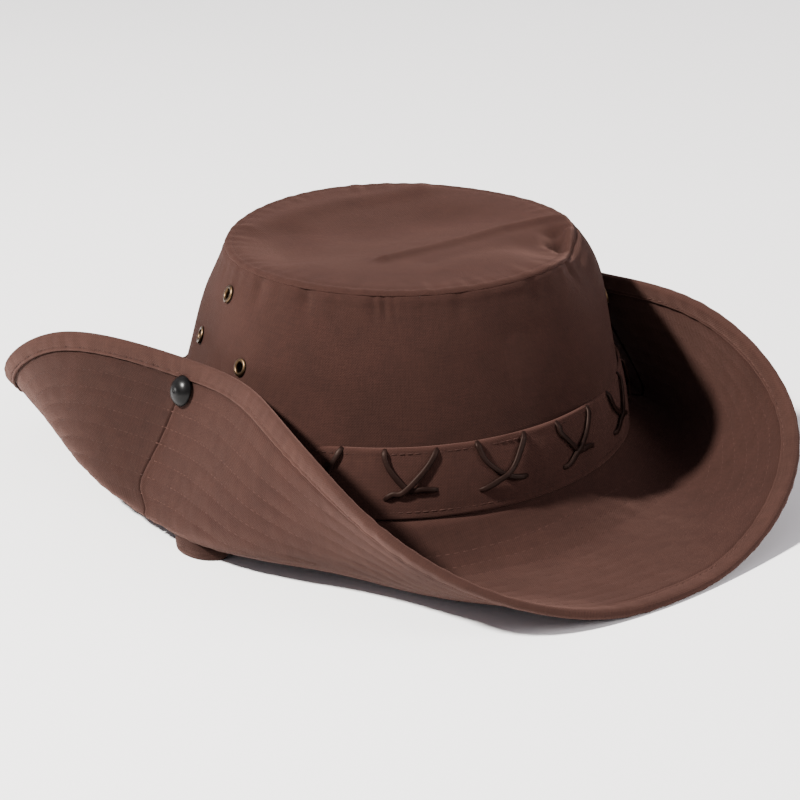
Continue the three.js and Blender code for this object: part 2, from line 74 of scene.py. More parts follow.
# Band, lacing, vents, snaps and keeper
BAND_HEIGHT = 24.5 * MM
BAND_CLOTH = 1.4 * MM
LACE_COUNT = 16
LACE_START = 0.8
LACE_HALF_SPREAD = 9.7 * MM
LACE_TOP = 24.3 * MM
LACE_WIDTH = 2.1 * MM
LACE_THICK = 1.2 * MM
VENT_HIGH = 0.871 * CROWN_HEIGHT
VENT_LOW = 0.597 * CROWN_HEIGHT
VENT_SPREAD = 15.9
VENT_HEADINGS = {"right": 90, "left": 271.4}
SNAP_HEADINGS = {"right": 90, "left": 272}
SNAP_FROM_EDGE = 12.2 * MM
SNAP_CLEAR = 0.95 * MM
KEEPER_HEADING = 289
KEEPER_REACH = 0.2 * BRIM_WIDTH
KEEPER_HALF_SPAN = 0.185 * BRIM_WIDTH
KEEPER_CLOTH = 2.2 * MM
KEEPER_INSET = 3 * MM
KEEPER_END_HALF = 1.9 * MM
KEEPER_MIDDLE_GAIN = 2 * MM
KEEPER_DROP = 4 * MM

# The brim's section at each heading, in shares of BRIM_WIDTH
BRIM_SECTIONS = [
    dict(near_out=0.20, near_up=-0.30, far_out=0.63, far_up=-0.18, edge_out=0.94, edge_up=-0.15, swing=0.02),
    dict(near_out=0.23, near_up=-0.34, far_out=0.61, far_up=-0.17, edge_out=0.89, edge_up=-0.12, swing=0.04),
    dict(near_out=0.30, near_up=-0.45, far_out=0.64, far_up=0.04, edge_out=0.78, edge_up=0.19, swing=-0.06),
    dict(near_out=0.40, near_up=-0.41, far_out=0.39, far_up=0.18, edge_out=0.33, edge_up=0.51, swing=-0.14),
    dict(near_out=0.48, near_up=-0.34, far_out=0.15, far_up=0.07, edge_out=0.02, edge_up=0.52, swing=0.03),
    dict(near_out=0.51, near_up=-0.22, far_out=0.43, far_up=-0.08, edge_out=0.42, edge_up=0.44, swing=0.13),
    dict(near_out=0.45, near_up=-0.16, far_out=0.58, far_up=-0.22, edge_out=0.88, edge_up=0.16, swing=0.03),
    dict(near_out=0.38, near_up=-0.12, far_out=0.59, far_up=-0.30, edge_out=0.95, edge_up=-0.13, swing=0.01),
    dict(near_out=0.35, near_up=-0.11, far_out=0.60, far_up=-0.30, edge_out=0.96, edge_up=-0.13, swing=0.01),
    dict(near_out=0.38, near_up=-0.12, far_out=0.59, far_up=-0.30, edge_out=0.95, edge_up=-0.13, swing=0.02),
    dict(near_out=0.45, near_up=-0.13, far_out=0.61, far_up=-0.21, edge_out=0.90, edge_up=0.17, swing=-0.01),
    dict(near_out=0.53, near_up=-0.20, far_out=0.44, far_up=-0.09, edge_out=0.43, edge_up=0.52, swing=-0.13),
    dict(near_out=0.48, near_up=-0.32, far_out=0.06, far_up=0.02, edge_out=-0.06, edge_up=0.52, swing=0.04),
    dict(near_out=0.35, near_up=-0.36, far_out=0.25, far_up=0.09, edge_out=-0.01, edge_up=0.51, swing=0.26),
    dict(near_out=0.25, near_up=-0.33, far_out=0.38, far_up=0.05, edge_out=0.45, edge_up=0.42, swing=0.34),
    dict(near_out=0.17, near_up=-0.34, far_out=0.48, far_up=-0.14, edge_out=0.84, edge_up=0.15, swing=0.14),
]

# Soft hollows of the crown, as shares of half the head's width and length and of the crown's height
HOLLOWS = [
    dict(right=-0.12, back=0.15, up=1.00, reach=0.36, push=(0, 0, -4.5 * MM)),
    dict(right=0.36, back=0.20, up=1.00, reach=0.34, push=(0, 0, -4.5 * MM)),
    dict(right=0.64, back=-0.46, up=0.98, reach=0.17, push=(-3 * MM, 2 * MM, -4 * MM)),
]

# Creases on the top panel, in mm from the middle of the head opening: each a soft ridge or hollow
LID_FOLDS = [
    dict(line=[(-8, -31), (13, -26), (30, -21), (46, -16), (61, -15), (72, -18)], width=3.6, rise=1.9),
    dict(line=[(5, -44), (44, -36)], width=8.0, rise=-0.8),
    dict(line=[(-36, 39), (-12, 51), (7, 56), (41, 55)], width=6.5, rise=1.3),
    dict(line=[(62.5, -30), (60.5, -38)], width=4.2, rise=-3.0),
    dict(line=[(61.5, -37), (60.5, -47)], width=2.4, rise=-2.4),
    dict(line=[(68.5, -31), (63, -47)], width=1.7, rise=1.8),
    dict(line=[(-40, -10), (-22, 30)], width=9.0, rise=-0.9),
]

# Puckers under the crown's top seam, where the sewing gathered the cloth: degrees, and a depth in mm
PUCKERS = [
    dict(heading=285, width=2.2, depth=1.0),
    dict(heading=304, width=2.4, depth=1.3),
    dict(heading=326, width=1.2, depth=0.8),
    dict(heading=329, width=1.0, depth=1.0),
    dict(heading=332, width=1.0, depth=0.7),
    dict(heading=352, width=3.0, depth=0.5),
    dict(heading=18, width=2.2, depth=0.6),
    dict(heading=42, width=2.6, depth=1.2),
    dict(heading=118, width=2.2, depth=0.9),
    dict(heading=163, width=2.4, depth=0.8),
    dict(heading=205, width=2.0, depth=0.8),
    dict(heading=241, width=2.4, depth=1.0),
]

# Each lace cross: two thongs from the band's top edge that cross low, as shares of spread and height
LACE_ARMS = [
    [(-1, 1), (-0.93, 0.84), (-0.67, 0.66), (-0.05, 0.44), (0.5, 0.38), (1, 0.35)],
    [(1, 1), (0.74, 0.78), (0.34, 0.56), (-0.26, 0.38), (-0.6, 0.32), (-0.96, 0.27)],
]


# Surfaces

def around_curve(values):
    """A smooth closed curve through equally spaced values round the hat."""
    values = np.array(values, float)
    n = len(values)
    ring = 4 * np.eye(n) + np.roll(np.eye(n), 1, 0) + np.roll(np.eye(n), -1, 0)
    bend = np.linalg.solve(ring, 6 * (np.roll(values, 1) - 2 * values + np.roll(values, -1)))

    def at(heading):
        place = np.asarray(heading, float) / 360 * n
        low = np.floor(place).astype(int)
        f = place - low
        g = 1 - f
        i, j = low % n, (low + 1) % n
        return values[i] * g + values[j] * f + ((g ** 3 - g) * bend[i] + (f ** 3 - f) * bend[j]) / 6

    return at


SECTION = {
    column: around_curve([row[column] * BRIM_WIDTH for row in BRIM_SECTIONS])
    for column in BRIM_SECTIONS[0]
}


def unit(vectors):
    return vectors / np.maximum(np.linalg.norm(vectors, axis=-1, keepdims=True), 1e-12)


def bell(distance):
    """A smooth hump: 1 at no distance, fading out on both sides."""
    return np.exp(-distance ** 2)


def ridge(row, distance):
    """A ridge or groove at the row's distance from a seam. The row is in mm."""
    return row["rise"] * MM * bell((distance / MM - row["at"]) / row["width"])


def turn_from(heading, middle):
    """Degrees from one heading to another, the short way round."""
    return (heading - middle + 180) % 360 - 180


def head_point(heading):
    """Place on the edge of the head opening."""
    a = np.radians(heading)
    return np.stack([
        HEAD_WIDTH / 2 * np.sin(a), -HEAD_LENGTH / 2 * np.cos(a), HEAD_SIDE_RISE * np.sin(a) ** 2,
    ], -1)


def head_outward(heading):
    a = np.radians(heading)
    return unit(np.stack([HEAD_LENGTH * np.sin(a), -HEAD_WIDTH * np.cos(a), 0 * a], -1))


def hollowed(points):
    """The crown's points with its soft hollows pressed in."""
    moved = points.copy()
    for row in HOLLOWS:
        centre = np.array([
            row["right"] * HEAD_WIDTH / 2, row["back"] * HEAD_LENGTH / 2, row["up"] * CROWN_HEIGHT])
        reach = row["reach"] * HEAD_LENGTH / 2
        share = np.exp(-((points - centre) ** 2).sum(-1) / reach ** 2)
        moved += share[..., None] * np.array(row["push"])
    return moved


def top_point(heading, share):
    """Place on the top panel: share is 0 at its middle and 1 at its seam."""
    a = np.radians(heading)
    x = share * TOP_WIDTH / 2 * np.sin(a) + TOP_LEAN_RIGHT
    y = -share * TOP_LENGTH / 2 * np.cos(a) - TOP_LEAN_FRONT
    fall = -share * (TOP_FALL_RIGHT * np.sin(a) + TOP_FALL_FRONT * np.cos(a))
    return np.stack([x, y, CROWN_HEIGHT + fall], -1)


def crown_point(heading, height, offset=0.0):
    """Place on the crown's wall: height is 0 at the head opening and 1 at the top seam."""
    heading, height, offset = np.broadcast_arrays(
        np.asarray(heading, float), np.asarray(height, float), np.asarray(offset, float))
    a = np.radians(heading)
    base = head_point(heading)
    top = top_point(heading, np.ones_like(heading))
    point = base + (top - base) * height[..., None]
    outward = np.stack([np.sin(a), -np.cos(a), 0 * a], -1)
    point = point + outward * (CROWN_BULGE * 4 * height * (1 - height) + offset)[..., None]
    return hollowed(point)


# Steps to the places on both sides that give a surface its directions: in degrees and in shares
TURN_NEAR = 0.5
RISE_NEAR = 0.01


def crown_frame(heading, height):
    """Place on the crown's wall and the directions along it, up it and out of it."""
    at = crown_point(heading, height)
    sideways = unit(crown_point(heading + TURN_NEAR, height) - crown_point(heading - TURN_NEAR, height))
    upward = unit(crown_point(heading, height + RISE_NEAR) - crown_point(heading, height - RISE_NEAR))
    return at, sideways, upward, unit(np.cross(sideways, upward))


def brim_middle(heading, s):
    """Place on the brim's middle surface: s is 0 at the head opening and 1 at the edge."""
    heading, s = np.broadcast_arrays(np.asarray(heading, float), np.asarray(s, float))
    r = 1 - s
    value = {column: SECTION[column](heading) for column in SECTION}
    out = (r ** 3 * (-CROWN_CLOTH / 2) + 3 * s * r * r * value["near_out"]
           + 3 * s * s * r * value["far_out"] + s ** 3 * value["edge_out"])
    up = (3 * s * r * r * value["near_up"] + 3 * s * s * r * value["far_up"] + s ** 3 * value["edge_up"])
    outward = head_outward(heading)
    along = np.stack([-outward[..., 1], outward[..., 0], 0 * out], -1)
    point = head_point(heading) + outward * out[..., None] + along * (s * s * value["swing"])[..., None]
    point[..., 2] += up
    return point


LENGTH_STEPS = 80


def brim_shares(headings, from_edge):
    """Shares of the brim's curve at lengths from the edge: one row for each heading."""
    steps = np.linspace(0, 1, LENGTH_STEPS + 1)
    path = brim_middle(np.asarray(headings, float)[:, None], steps[None, :])
    lengths = np.concatenate([
        np.zeros((len(path), 1)), np.cumsum(np.linalg.norm(np.diff(path, axis=1), axis=2), axis=1),
    ], 1)
    whole = lengths[:, -1]
    places = np.broadcast_to(from_edge, (len(path), np.shape(from_edge)[-1]))
    shares = np.stack([np.interp(w - d, row, steps) for w, d, row in zip(whole, places, lengths)])
    return shares, whole


BINDING_HALF = BRIM_CLOTH / 2 + BINDING_CLOTH / 2 + GAP
REST_SOFTNESS = 1.2 * MM


def rested(heading, s, half):
    """The brim's middle surface, which lies flat on the ground where it would pass below it."""
    point = brim_middle(heading, s)
    ground = half - REST_DEPTH
    z = point[..., 2]
    near = np.maximum(1 - np.abs(z - ground) / REST_SOFTNESS, 0)
    point[..., 2] = np.maximum(z, ground) + REST_SOFTNESS / 4 * near ** 2
    return point


HEM_THINS_OVER = 11 * MM


def half_at(from_edge):
    """Half the brim's thickness: the hem's at the edge, and the cloth's alone farther in."""
    share = np.clip((from_edge - BINDING_WIDTH - 1 * MM) / HEM_THINS_OVER, 0, 1)
    share = share * share * (3 - 2 * share)
    return BINDING_HALF + (BRIM_CLOTH / 2 - BINDING_HALF) * share


BRIM_TURN_NEAR = 0.4
BRIM_SHARE_NEAR = 0.004


def brim_surface(headings, from_edge, offset, shares=None):
    """Points and upward normals of the brim's cloth at an offset from its middle."""
    if shares is None:
        shares, _ = brim_shares(headings, from_edge)
    half = np.broadcast_to(half_at(np.asarray(from_edge)), shares.shape)
    headings = np.asarray(headings, float)
    heading = np.broadcast_to(headings if headings.ndim == 2 else headings[:, None], shares.shape)
    low, high = np.maximum(shares - BRIM_SHARE_NEAR, 0), np.minimum(shares + BRIM_SHARE_NEAR, 1)
    along = rested(heading, high, half) - rested(heading, low, half)
    before, after = heading - BRIM_TURN_NEAR, heading + BRIM_TURN_NEAR
    around = rested(after, shares, half) - rested(before, shares, half)
    normal = unit(np.cross(along, around))
    return rested(heading, shares, half) + normal * np.asarray(offset)[..., None], normal


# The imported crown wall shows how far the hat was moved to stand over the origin
CAD_SIDE_HEIGHTS = [CROWN_FOOT / CROWN_HEIGHT, 0.2, 0.42, 0.66, 0.86, 1]
CAD_AROUND = 48
cad_headings = np.arange(CAD_AROUND)[:, None] * 360 / CAD_AROUND
cad_ring = crown_point(cad_headings, np.array(CAD_SIDE_HEIGHTS)[None, :]).reshape(-1, 3)
side_low, side_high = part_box("crown_side")
SEAT = np.array([
    (side_low.x + side_high.x) / 2 - (cad_ring[:, 0].min() + cad_ring[:, 0].max()) / 2,
    (side_low.y + side_high.y) / 2 - (cad_ring[:, 1].min() + cad_ring[:, 1].max()) / 2,
    REST_DEPTH,
])


# Kinds of irregular relief. around: fewest and most whole waves round the hat. across: wave turns for each
# metre, or for a whole share, of the place across the cloth. up: how steeply waves may run across it.
WAVES = {
    "brim_pull": dict(seed=11, around=(5, 40), across=40, up=0.6, count=14),
    "brim_puff": dict(seed=23, around=(30, 110), across=1 / STITCH_ROW_STEP, up=0.7, count=18),
    "brim_slack": dict(seed=37, around=(3, 14), across=10, up=1.0, count=12),
    "hem_twist": dict(seed=5, around=(60, 160), across=0.5 / BINDING_WIDTH, up=1.0, count=16),
    "hem_slack": dict(seed=6, around=(4, 18), across=20, up=1.0, count=12),
    "wall_slack": dict(seed=41, around=(2, 9), across=1, up=1.1, count=12),
    "wall_gathers": dict(seed=43, around=(26, 70), across=0.5, up=1.0, count=16),
    "lid_gathers": dict(seed=47, around=(26, 70), across=1, up=1.0, count=16),
    "lid_slack": dict(seed=53, around=(1, 5), across=1.2, up=1.2, count=12),
    "band_slack": dict(seed=61, around=(6, 30), across=0.6, up=0.8, count=16),
}


def waves(kind, heading, place, side=0):
    """Gentle irregular relief of about unit height, of one of the kinds above."""
    row = WAVES[kind]
    fewest, most = row["around"]
    draw = np.random.default_rng(row["seed"] + side)
    total = 0
    for _ in range(row["count"]):
        turns = draw.integers(fewest, most + 1)
        rise = draw.uniform(-row["up"], row["up"]) * 2 * math.pi
        phase = draw.uniform(0, 2 * math.pi)
        total = total + np.sin(np.radians(heading) * turns + place * row["across"] * rise + phase)
    return total * math.sqrt(2 / row["count"])


# Meshes

def make_piece(name, points, faces, material, uv=None, wrap=None):
    """A named mesh on the hat. uv gives each point's place on its flat cloth, in metres.
    wrap is the cloth's length round the hat, for a surface whose ends meet."""
    mesh = bpy.data.meshes.new(name)
    points = np.reshape(points, (-1, 3))
    faces = [list(face) for face in faces]
    mesh.from_pydata((points + SEAT).tolist(), [], faces)
    if uv is not None:
        layer = mesh.uv_layers.new(name="cloth")
        corners = np.zeros(len(mesh.loops), np.int32)
        mesh.loops.foreach_get("vertex_index", corners)
        places = np.reshape(uv, (-1, 2)).astype(np.float32)[corners]
        if wrap is not None:
            places = places.reshape(-1, 4, 2)
            jump = places[:, :, 0].max(1, keepdims=True) - places[:, :, 0] > wrap / 2
            places[:, :, 0] += np.where(jump, wrap, 0)
        layer.data.foreach_set("uv", places.ravel())
    mesh.polygons.foreach_set("use_smooth", np.ones(len(mesh.polygons), bool))
    mesh.materials.append(material)
    piece = bpy.data.objects.new(name, mesh)
    bpy.context.scene.collection.objects.link(piece)
    mesh.update()
    f = np.array([face[:3] + [face[-1]] for face in faces])
    volume = sum(
        np.einsum("ij,ij->", points[f[:, 0]], np.cross(points[f[:, k]], points[f[:, k + 1]]))
        for k in (1, 2))
    if volume < 0:
        mesh.flip_normals()
    return piece


def ring_faces(around, through, closed=True):
    """Quads of a section of so many points carried all the way round."""
    i = np.arange(around)[:, None]
    j = np.arange(through if closed else through - 1)[None, :]
    a, b = i * through + j, ((i + 1) % around) * through + j
    c, d = ((i + 1) % around) * through + (j + 1) % through, i * through + (j + 1) % through
    return np.stack([a, b, c, d], -1).reshape(-1, 4)


def dress(piece, slot_name, *nodes):
    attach(piece, "root")
    if nodes:
        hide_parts(*nodes)


ASKEW = (0.3, 0.5, 0.9)


def turned(name, profile, sides, at, axis, material):
    """A round piece turned from (radius, height) pairs about an axis, which isn't along ASKEW."""
    side = unit(np.cross(axis, ASKEW))
    other = np.cross(axis, side)
    angle = np.arange(sides) * 2 * math.pi / sides
    rim = np.cos(angle)[:, None] * side + np.sin(angle)[:, None] * other
    profile = np.array(profile)
    points = at + rim[:, None, :] * profile[None, :, 0, None] + axis * profile[None, :, 1, None]
    return make_piece(name, points, ring_faces(sides, len(profile)), material)


# One stitch, from end to end: along in shares of its length, size and lift in shares of the thread's width
STITCH_SECTION = [
    dict(along=-0.5, size=0.35, lift=-0.55),
    dict(along=-0.32, size=1.0, lift=0.0),
    dict(along=0.32, size=1.0, lift=0.0),
    dict(along=0.5, size=0.35, lift=-0.55),
]
STITCH_CORNERS = 5
STITCH_WIDTH = 0.5 * MM


def stitch_run(name, places, along, normals, material, length, proud):
    """Thread stitches lying on a surface, each a rounded bead of thread that dips in at both ends."""
    side = unit(np.cross(normals, along))
    stations = len(STITCH_SECTION)
    points = np.zeros((len(places), stations, STITCH_CORNERS, 3))
    for k, row in enumerate(STITCH_SECTION):
        lift = proud - STITCH_WIDTH / 2 + row["lift"] * STITCH_WIDTH
        middle = places + along * (row["along"] * length) + normals * lift
        radius = row["size"] * STITCH_WIDTH / 2
        for m in range(STITCH_CORNERS):
            angle = m * 2 * math.pi / STITCH_CORNERS
            points[:, k, m] = (
                middle + side * (math.cos(angle) * radius) + normals * (math.sin(angle) * radius))
    quads, tips = [], []
    for k in range(stations - 1):
        low, high = k * STITCH_CORNERS, (k + 1) * STITCH_CORNERS
        for m in range(STITCH_CORNERS):
            n = (m + 1) % STITCH_CORNERS
            quads.append([low + m, low + n, high + n, high + m])
    last = (stations - 1) * STITCH_CORNERS
    for m in range(1, STITCH_CORNERS - 1):
        tips += [[0, m + 1, m], [last, last + m, last + m + 1]]
    start = np.arange(len(places))[:, None, None] * stations * STITCH_CORNERS
    quads = (start + np.array(quads)).reshape(-1, 4).tolist()
    tips = (start + np.array(tips)).reshape(-1, 3).tolist()
    return make_piece(name, points, quads + tips, material)


# Materials

BLACK = (0, 0, 0, 1)
WHITE = (1, 1, 1, 1)


class Nodes:
    """A material whose node tree is built with short calls."""

    def __init__(self, name):
        self.material = bpy.data.materials.new(name)
        self.material.use_nodes = True
        self.tree = self.material.node_tree
        self.shader = self.tree.nodes["Principled BSDF"]

    def add(self, kind, **values):
        node = self.tree.nodes.new(kind)
        for key, value in values.items():
            setattr(node, key, value)
        return node

    def link(self, out, into):
        self.tree.links.new(out, into)

    def fill(self, sockets, values):
        """Sets each socket to its number or colour, or links it to the output that gives it."""
        for socket, value in zip(sockets, values):
            if isinstance(value, (int, float, tuple)):
                socket.default_value = value
            elif value is not None:
                self.link(value, socket)

    def set(self, **values):
        """Sets the shader's own sockets, which are named here with underscores."""
        for key, value in values.items():
            self.shader.inputs[key.replace("_", " ")].default_value = value

    def spots(self):
        return self.add("ShaderNodeTexCoord").outputs["Object"]

    def split(self, vector):
        node = self.add("ShaderNodeSeparateXYZ")
        self.link(vector, node.inputs[0])
        return node.outputs["X"], node.outputs["Y"]

    def math(self, operation, a, b=None):
        node = self.add("ShaderNodeMath", operation=operation)
        self.fill(node.inputs, (a, b))
        return node.outputs[0]

    def noise(self, vector, scale, detail=3.0, roughness=0.55):
        node = self.add("ShaderNodeTexNoise")
        self.fill([node.inputs[key] for key in ("Vector", "Scale", "Detail", "Roughness")],
                  (vector, scale, detail, roughness))
        return node.outputs["Fac"]

    def ramp(self, fac, stops):
        node = self.add("ShaderNodeValToRGB")
        first, last = node.color_ramp.elements
        first.position, first.color = stops[0]
        last.position, last.color = stops[-1]
        for position, color in stops[1:-1]:
            node.color_ramp.elements.new(position).color = color
        self.link(fac, node.inputs["Fac"])
        return node.outputs["Color"]

    def mix(self, fac, a, b, blend="MIX"):
        node = self.add("ShaderNodeMix", data_type="RGBA", blend_type=blend)
        self.fill((node.inputs[0], node.inputs[6], node.inputs[7]), (fac, a, b))
        return node.outputs[2]

    def rubbed(self, tone, low, high, share, color):
        """A tone that turns to a colour on outer edges, by their pointiness."""
        worn = self.add("ShaderNodeNewGeometry").outputs["Pointiness"]
        edges = self.ramp(worn, [(low, BLACK), (high, WHITE)])
        return self.mix(self.math("MULTIPLY", edges, share), tone, color)

    def behind(self, tone, back, seam, shaded_back_tone):
        """A tone with painted shade behind the side seams: back is the place, and seam where they are."""
        if shaded_back_tone == 1.0:
            return tone
        past = self.math("GREATER_THAN", back, seam)
        return self.mix(self.math("MULTIPLY", past, 1 - shaded_back_tone), tone, BLACK)

    def roughness(self, value, low, high):
        node = self.add("ShaderNodeMapRange")
        self.fill([node.inputs[key] for key in ("Value", "To Min", "To Max")], (value, low, high))
        self.link(node.outputs[0], self.shader.inputs["Roughness"])

    def bump(self, height, strength, distance, under=None):
        node = self.add("ShaderNodeBump")
        self.fill([node.inputs[key] for key in ("Height", "Strength", "Distance", "Normal")],
                  (height, strength, distance, under))
        return node.outputs[0]

    def complete(self, tone, normal):
        self.link(tone, self.shader.inputs["Base Color"])
        self.link(normal, self.shader.inputs["Normal"])
        return self.material


def shade(color, factor):
    return (color[0] * factor, color[1] * factor, color[2] * factor, 1)


THREAD_PITCH = 0.52 * MM
SLUB_LONG = 160
SLUB_FINE = 1400


def canvas(name, color, shaded_back_tone=1.0):
    """Plain-woven cotton canvas: warp and weft, slubs, faded patches, rubbed ridges and painted shade in
    hollows and creases.
    The last argument is the tone of the cloth behind the side seams, as a share of the front's: painted shade
    on that panel."""
    n = Nodes(name)
    uv = n.add("ShaderNodeUVMap", uv_map="cloth").outputs["UV"]
    along, back = n.split(uv)
    across = n.math("MULTIPLY", along, math.pi / THREAD_PITCH)
    down = n.math("MULTIPLY", back, math.pi / THREAD_PITCH)
    over = n.math("MULTIPLY", n.math("SINE", across), n.math("SINE", down))
    ribs = n.math("ADD", *(n.math("ABSOLUTE", n.math("COSINE", way)) for way in (across, down)))
    weave = n.math("ADD", n.math("MULTIPLY", over, 0.5), n.math("MULTIPLY", ribs, -0.5))
    slubs = []
    for scale in ((SLUB_LONG, SLUB_FINE, 1), (SLUB_FINE, SLUB_LONG, 1)):
        streaks = n.add("ShaderNodeMapping")
        streaks.inputs["Scale"].default_value = scale
        n.link(uv, streaks.inputs["Vector"])
        slubs.append(n.noise(streaks.outputs[0], 1.0, 2.0))
    slubs = n.math("ADD", *slubs)

    spots = n.spots()
    fade = n.noise(spots, 14, 4)
    mottle = n.noise(spots, 90, 3)
    crumple = n.noise(spots, 45, 5, 0.6)
    tone = n.ramp(fade, [(0.30, shade(color, 0.86)), (0.52, shade(color, 1.0)), (0.74, shade(color, 1.13))])
    grain = n.ramp(mottle, [(0.32, (0.90, 0.89, 0.89, 1)), (0.68, (1.08, 1.07, 1.07, 1))])
    tone = n.mix(1.0, tone, grain, "MULTIPLY")
    thread = n.ramp(n.math("MULTIPLY", slubs, 0.5),
                    [(0.36, (0.86, 0.86, 0.87, 1)), (0.64, (1.13, 1.12, 1.11, 1))])
    tone = n.mix(1.0, tone, thread, "MULTIPLY")
    weave_shade = n.ramp(weave, [(0.0, shade(WHITE, 0.84)), (0.6, shade(WHITE, 1.06))])
    tone = n.mix(0.6, tone, n.mix(1.0, tone, weave_shade, "MULTIPLY"))
    tone = n.rubbed(tone, 0.50, 0.56, 0.3, shade(color, 1.5))
    # Painted shade: concave places such as creases, grooves and ledges are darkened by their pointiness.
    hollows = n.add("ShaderNodeNewGeometry").outputs["Pointiness"]
    tone = n.mix(1.0, tone, n.ramp(hollows, [(0.42, shade(WHITE, 0.55)), (0.49, WHITE)]), "MULTIPLY")
    # Painted shade: the cloth behind the side seams is darker than the front panel.
    tone = n.behind(tone, back, 0.0, shaded_back_tone)

    n.roughness(mottle, 0.82, 0.97)
    n.set(Specular_IOR_Level=0.06, Sheen_Weight=0.105, Sheen_Roughness=0.5, Sheen_Tint=(0.9, 0.49, 0.40, 1))
    fine = n.bump(n.math("ADD", weave, n.math("MULTIPLY", slubs, 0.8)), 0.55, 0.16 * MM)
    return n.complete(tone, n.bump(crumple, 0.35, 1.0 * MM, fine))


def thread_material(name, color, shaded_back_tone=1.0):
    """Twisted cotton sewing thread, with the same painted shade as the cloth behind the side seams."""
    n = Nodes(name)
    spots = n.spots()
    tone = n.ramp(n.noise(spots, 900, 2), [(0.35, shade(color, 0.75)), (0.65, shade(color, 1.2))])
    tone = n.behind(tone, n.split(spots)[1], float(SEAT[1]), shaded_back_tone)
    n.set(Roughness=0.8, Specular_IOR_Level=0.1)
    return n.complete(tone, n.bump(n.noise(spots, 2600, 1), 0.5, 0.1 * MM))


def leather_material(name, color):
    """Waxed leather thong: dark, with rubbed shiny backs and fine cracks."""
    n = Nodes(name)
    spots = n.spots()
    patch = n.noise(spots, 120, 4)
    pores = n.noise(spots, 1500, 3)
    tone = n.ramp(patch, [(0.3, shade(color, 0.6)), (0.5, shade(color, 1.0)), (0.75, shade(color, 1.7))])
    tone = n.rubbed(tone, 0.50, 0.60, 0.4, shade(color, 1.9))
    n.roughness(patch, 0.36, 0.6)
    n.set(Specular_IOR_Level=0.11, Specular_Tint=(1.0, 0.72, 0.6, 1))
    return n.complete(tone, n.bump(n.math("ADD", pores, patch), 0.4, 0.15 * MM))


def metal_material(name, color, bright, smoothest, roughest, metallic=1.0):
    """Lacquered or aged metal: tarnish in patches, brighter where it is rubbed, small scratches."""
    n = Nodes(name)
    spots = n.spots()
    tarnish = n.noise(spots, 260, 5, 0.65)
    scratch = n.noise(spots, 2200, 2)
    tone = n.ramp(
        tarnish, [(0.30, shade(color, 0.45)), (0.52, shade(color, 1.0)), (0.72, shade(color, 1.35))])
    tone = n.rubbed(tone, 0.51, 0.60, 0.6, (*bright, 1))
    n.roughness(tarnish, smoothest, roughest)
    n.set(Metallic=metallic, Specular_IOR_Level=0.14)
    return n.complete(tone, n.bump(n.math("ADD", scratch, tarnish), 0.15, 0.1 * MM))


CANVAS_COLOR = (0.0220, 0.0094, 0.0071)
crown_canvas = canvas("crown_canvas", CANVAS_COLOR)
# The brim's back panel and the threads sewn on it carry painted shade behind the side seams.
brim_canvas = canvas("brim_canvas", (0.0220, 0.0095, 0.0072), shaded_back_tone=0.74)
binding_canvas = canvas("binding_canvas", (0.0300, 0.0138, 0.0106))
band_canvas = canvas("band_canvas", (0.0295, 0.0130, 0.0100))
sewing_thread = thread_material("sewing_thread", (0.047, 0.0215, 0.0165), shaded_back_tone=0.6)
upper_thread = thread_material("upper_thread", (0.036, 0.0163, 0.0125), shaded_back_tone=0.7)
crown_thread = thread_material("crown_thread", (0.034, 0.0152, 0.0116))
band_thread = thread_material("band_thread", (0.031, 0.0138, 0.0106))
lace_leather = leather_material("lace_leather", (0.0070, 0.0033, 0.0027))
eyelet_brass = metal_material("eyelet_brass", (0.060, 0.034, 0.017), (0.20, 0.135, 0.075), 0.30, 0.5)
snap_metal = metal_material("snap_metal", (0.0034, 0.0032, 0.0031), (0.008, 0.008, 0.008), 0.24, 0.36, 0.05)


# Brim cloth: two faces sewn together by rows of stitching

SEAM_HEADINGS = (90, 270)
SEAM_STEPS = (-1.2, -0.8, -0.5, -0.3, -0.15, 0, 0.15, 0.3, 0.5, 0.8, 1.2)
SEAM_CLEAR = 1.4
SEAM_FADE = 10

# How far the left seam wanders round the hat: from_edge in mm and turn in degrees
SEAM_SWING = [
    dict(from_edge=7, turn=1.0),
    dict(from_edge=18, turn=0.5),
    dict(from_edge=35, turn=-0.3),
    dict(from_edge=44, turn=-1.0),
    dict(from_edge=50, turn=-1.2),
    dict(from_edge=54, turn=-0.4),
    dict(from_edge=59, turn=3.6),
    dict(from_edge=70, turn=5.0),
]


def seam_swing(heading, from_edge):
    """The left seam's wandering in degrees, which fades out on both sides of it."""
    places = [row["from_edge"] * MM for row in SEAM_SWING]
    turn = np.interp(from_edge, places, [row["turn"] for row in SEAM_SWING])
    return turn * bell((heading - SEAM_HEADINGS[1]) / SEAM_FADE)


BRIM_AROUND = 540
ROOT_STEPS = 4
GROOVE_HALF = 0.9 * MM
CREST_HALF = 0.6 * MM
stitch_rows = STITCH_ROW_FIRST + STITCH_ROW_STEP * np.arange(STITCH_ROWS)
seam_angles = [seam + step for seam in SEAM_HEADINGS for step in SEAM_STEPS]
plain_angles = [
    angle for angle in np.arange(BRIM_AROUND) * 360 / BRIM_AROUND
    if min(abs(angle - seam) for seam in SEAM_HEADINGS) > SEAM_CLEAR
]
brim_headings = np.array(sorted(plain_angles + seam_angles))
distances = [BINDING_WIDTH + step * MM for step in (0.3, 0.9, 1.5, 2.4, 4.0)]
for row in stitch_rows:
    crest = row + STITCH_ROW_STEP / 2
    distances += [row - GROOVE_HALF, row, row + GROOVE_HALF, crest - CREST_HALF, crest + CREST_HALF]
distances = np.array(sorted(distances))[:-2]

# What draws the brim's cloth in or lifts it. The under side, seen on the folds, is drawn in more.
ROW_PULL = {1: 0.13 * MM, -1: 0.28 * MM}
ROW_PULL_LEAST = 0.75
ROW_PULL_UNEVEN = 0.35
ROW_PUFF = 0.045 * MM
HEM_PULL = 0.45 * MM
HEM_PULL_PLACE = BINDING_WIDTH + 0.5 * MM
BRIM_SLACK = 0.4 * MM
RELIEF_LIMIT = 0.6 * MM

